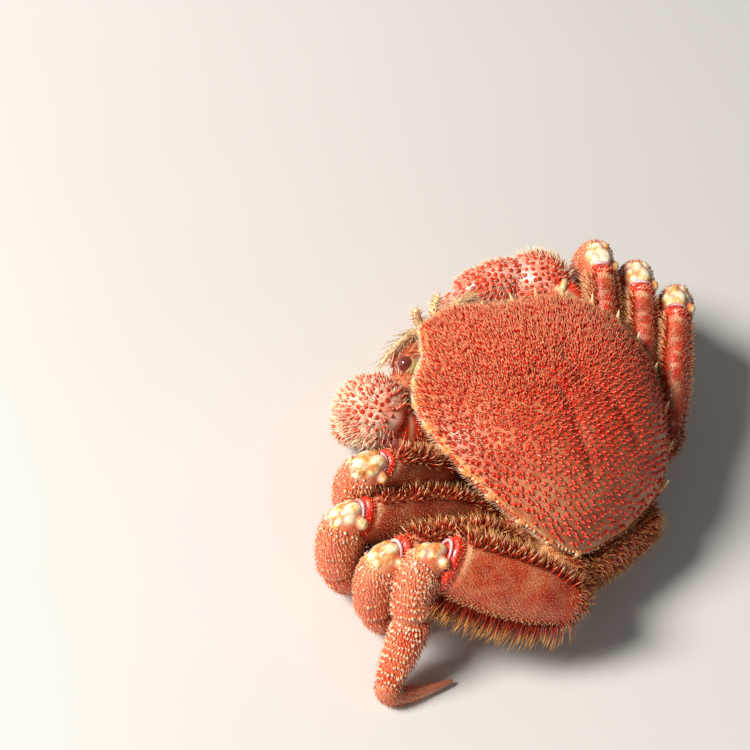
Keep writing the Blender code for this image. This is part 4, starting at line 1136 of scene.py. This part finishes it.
def build_arm(side):
    base, elbow, centre, root, end, tip = np.array(ARM_JOINTS[side], float)
    arm, hand, across = unit(elbow - base), unit(end - root), unit(root - elbow)
    thin = unit(np.cross(hand, UP))
    upper = np.cross(thin, hand)
    upper = upper if upper[2] > 0 else -upper
    reach = 1.05 * ARM_CARPUS_HALF[0]
    low_root, high_root = end - upper * 4.4, end + upper * 4.6
    merus_line = np.linspace(base - arm * 3, elbow + ELBOW_LIFT[side], LINE_POINTS)
    carpus_line = np.linspace(centre - across * reach, centre + across * reach, LINE_POINTS)
    palm_line = bent_line(root - hand * 5, (root + end) / 2, end)
    fixed_line = bent_line(low_root - hand * 7, (low_root + tip) / 2 - upper * 2, tip - upper * 2.6)
    moving_line = bent_line(high_root - hand, (high_root + tip) / 2 + upper * 4, tip + upper * 2.4)
    merus = limb_surface(merus_line, ARM_MERUS_HALF, ARM_MERUS_PROFILE, thin, (0.1, 0.1),
                         [(0.93, 0.04, 0.08)])
    carpus = limb_surface(carpus_line, ARM_CARPUS_HALF, ARM_CARPUS_PROFILE, thin, (0.22, 0.25))
    palm = limb_surface(palm_line, PALM_HALF, PALM_PROFILE, thin, (0.12, 0.12))
    fixed = limb_surface(fixed_line, FINGER_HALF, FINGER_PROFILE, thin, (0.1, 0.03))
    moving = limb_surface(moving_line, FINGER_HALF, FINGER_PROFILE, thin, (0.1, 0.03))
    tooth = lump_surface(ELBOW_TOOTH[side], (arm, thin, upper), (2.8, 2.2, 2.4))

    def bands(u, v):
        return {"red": 0.3 + 0.7 * smoothstep(0.86, 0.9, u), "deep": 0.4 * (1 - smoothstep(0.6, 0.72, u)),
                "pale": 0.7 * np.exp(-((u - 0.79) / 0.04) ** 2)}

    blush = {"red": 0.0 if side == LEFT else 0.3}
    stem = "cheliped_"
    make_skin(stem + "merus_" + side, [tube_part(merus, 60, 44, bands)], LEG_PAINT)
    make_piece(stem + "elbow_" + side, [tube_part(tooth, 24, 30)], ORBIT_PAINT)
    for name, parts in (
            ("carpus_", [tube_part(carpus, 80, 64, blush)]),
            ("palm_", [tube_part(palm, 80, 56, blush), tube_part(fixed, 50, 32, blush)]),
            ("finger_", [tube_part(moving, 50, 32, blush)])):
        make_skin(stem + name + side, parts, CLAW_PAINT)
    outward = (-1 if side == LEFT else 1, 0.2, 0.1)
    coat = Coat(5)
    for surface, rows in (
            (merus, [("spine", 2.4, 2.2, 0.4, (0.3, 0.74), AROUND),
                     ("bristle", 1.6, 3.2, 0.15, (0.3, 0.74), AROUND),
                     ("spine", 1.6, 1.4, 0.36, (0.87, 0.96), AROUND, 0.5, 1.0)]),
            (carpus, [("tubercle", 2.4, 2.4, 0.42, (0.04, 0.985), AROUND, 0.5, 1.0),
                      ("pale", 1.5, 2.0, 0.16, (0.04, 0.985), AROUND, 0.5, 0.2),
                      ("pale", 1.6, 3.4, 0.23, (0.05, 0.95), AROUND, 0.5, 0.1, 0.3, 0, 1.0, outward)]),
            (palm, [("tubercle", 2.5, 2.2, 0.44, (0.1, 0.95), AROUND, 0.6, 1.0),
                    ("pale", 1.5, 2.4, 0.15, (0.08, 0.95), AROUND, 0.6, 0.2)]),
            (fixed, [("spine", 2.2, 1.4, 0.34, (0.3, 0.75), AROUND, 0.8)]),
            (moving, [("spine", 2.2, 1.6, 0.34, (0.05, 0.75), AROUND, 0.8),
                      ("pale", 1.7, 2.0, 0.13, (0.05, 0.7), AROUND, 0.8)])):
        coat.grow(surface, rows)
    coat.finish(stem + side, HAIR_COAT)


def head_tube(path, half, sign, profile, thin_way=UP, collars=()):
    line = curve_points(mirrored(path, sign), LINE_POINTS)
    return limb_surface(line, half, profile, thin_way, (0.05, 0.03), collars)


def build_head(side, sign):
    eye = ball_surface(mirrored(EYE_CENTRE[side], sign), EYE_RADIUS, (sign, 0.6, 0.4))
    make_piece("eye_" + side + "_globe", [tube_part(eye, 32, 40)], EYE_PAINT, ["eye_" + side])
    stalk = head_tube([STALK_ROOT, EYE_CENTRE[side]], STALK_HALF, sign, STALK_PROFILE)
    orbit = lump_surface(mirrored(ORBIT_CENTRE, sign), AXES, ORBIT_HALF)
    parts = [tube_part(stalk, 40, 28), tube_part(orbit, 28, 28)]
    make_skin("eyestalk_" + side, parts, ORBIT_PAINT)
    coat = Coat(len(HEAD_TUBES))
    for name, path, half, profile, thin_way, collars, steps, rows in HEAD_TUBES:
        surface = head_tube(path, half, sign, profile, thin_way, collars)
        make_skin(name + side, [tube_part(surface, steps, 24, {"pale": 0.6})], KNEE_PAINT)
        coat.grow(surface, rows)
    coat.finish("head_" + side, HAIR_COAT)


def build_face():
    """The reddish front of the head under the margin, between the eyes, with its short bristles."""
    lumps = [lump_surface(FACE_CENTRE, AXES, FACE_HALF)]
    for _, sign in SIDES:
        lumps.append(lump_surface(mirrored(CHEEK_CENTRE, sign), AXES, CHEEK_HALF))
        lumps.append(lump_surface(mirrored(BROW_CENTRE, sign), AXES, BROW_HALF))
    parts = [tube_part(lump, 40, 40, {"red": 0.3, "deep": 0.3}) for lump in lumps]
    make_piece("face_shell", parts, UNDER_PAINT)
    coat = Coat(len(lumps))
    for lump in lumps:
        coat.grow(lump, [("spine", 2.2, 1.8, 0.34, (0.05, 0.95), AROUND, 0.2),
                         ("pale", 1.4, 3.2, 0.15, (0.03, 0.97), AROUND, 0.2)])
    coat.finish("face", HAIR_COAT)


def build_floor():
    low, high = -FLOOR_HALF, FLOOR_HALF
    mesh = bpy.data.meshes.new("floor")
    mesh.from_pydata([(low, low, 0), (high, low, 0), (high, high, 0), (low, high, 0)], [], [(0, 1, 2, 3)])
    floor = add_object("floor", mesh)
    paint = Paint("floor_paper", 0.7)
    colour = paint.ramp(paint.noise(3), [(0.3, (222, 221, 219)), (0.7, (228, 227, 225))])
    mesh.materials.append(paint.finish(colour))


def build_camera():
    """The photo's view: the target lands on its pixel by turning the camera, with no lens shift."""
    azimuth, elevation, roll = (math.radians(a) for a in (VIEW_AZIMUTH, VIEW_ELEVATION, VIEW_ROLL))
    out = np.array([-math.cos(azimuth) * math.cos(elevation), -math.sin(azimuth) * math.cos(elevation),
                    math.sin(elevation)])
    level_up = unit(UP - out[2] * out)
    level_right = np.cross(-out, level_up)
    right = level_right * math.cos(roll) + level_up * math.sin(roll)
    up = -level_right * math.sin(roll) + level_up * math.cos(roll)
    focal = PIXELS_PER_MM * VIEW_DISTANCE
    offset = np.array(TARGET_PIXEL) - IMAGE_SIZE / 2
    forward = unit(-out * focal - right * offset[0] + up * offset[1])
    aim_right = unit(np.cross(forward, up))
    aim_up = np.cross(aim_right, forward)
    place = (np.array(VIEW_TARGET) + out * VIEW_DISTANCE + SHIFT) * MM
    data = bpy.data.cameras.new("camera")
    data.sensor_width = SENSOR_MM
    data.lens = SENSOR_MM * focal / IMAGE_SIZE
    camera = add_object("camera", data)
    turn = Matrix((aim_right, aim_up, -forward)).transposed().to_4x4()
    camera.matrix_world = Matrix.Translation(Vector(place)) @ turn
    bpy.context.scene.camera = camera
    return right, up, out


def add_light(name, direction, distance, size, power, colour):
    data = bpy.data.lights.new(name, "AREA")
    data.shape = "DISK"
    data.size = size
    data.energy = power
    data.color = colour
    direction = Vector(direction).normalized()
    turn = direction.to_track_quat("Z", "Y").to_matrix().to_4x4()
    add_object(name, data).matrix_world = Matrix.Translation(direction * distance) @ turn


def build_lights(right, up, out):
    add_light("key", up * 0.32 - right * 0.45 + out * 0.82, distance=2.2, size=0.7, power=80,
              colour=(1.0, 0.95, 0.89))
    add_light("fill", out * 0.9 - up * 0.5 + right * 0.3, distance=1.6, size=1.6, power=1.2,
              colour=(1.0, 0.97, 0.94))
    world = bpy.data.worlds.new("studio")
    world.use_nodes = True
    background = world.node_tree.nodes["Background"]
    background.inputs["Color"].default_value = linear((240, 237, 232))
    background.inputs["Strength"].default_value = 0.14
    bpy.context.scene.world = world
    bpy.context.scene.view_settings.view_transform = "Standard"


build_lights(*build_camera())
build_floor()
build_carapace()
build_back_coat()
build_teeth()
build_beads()
build_fringe()
build_thorax()
build_abdomen()
build_face()
for side, sign in SIDES:
    build_head(side, sign)
    build_arm(side)
    for number in (2, 3, 4, 5):
        build_leg(side, sign, number)
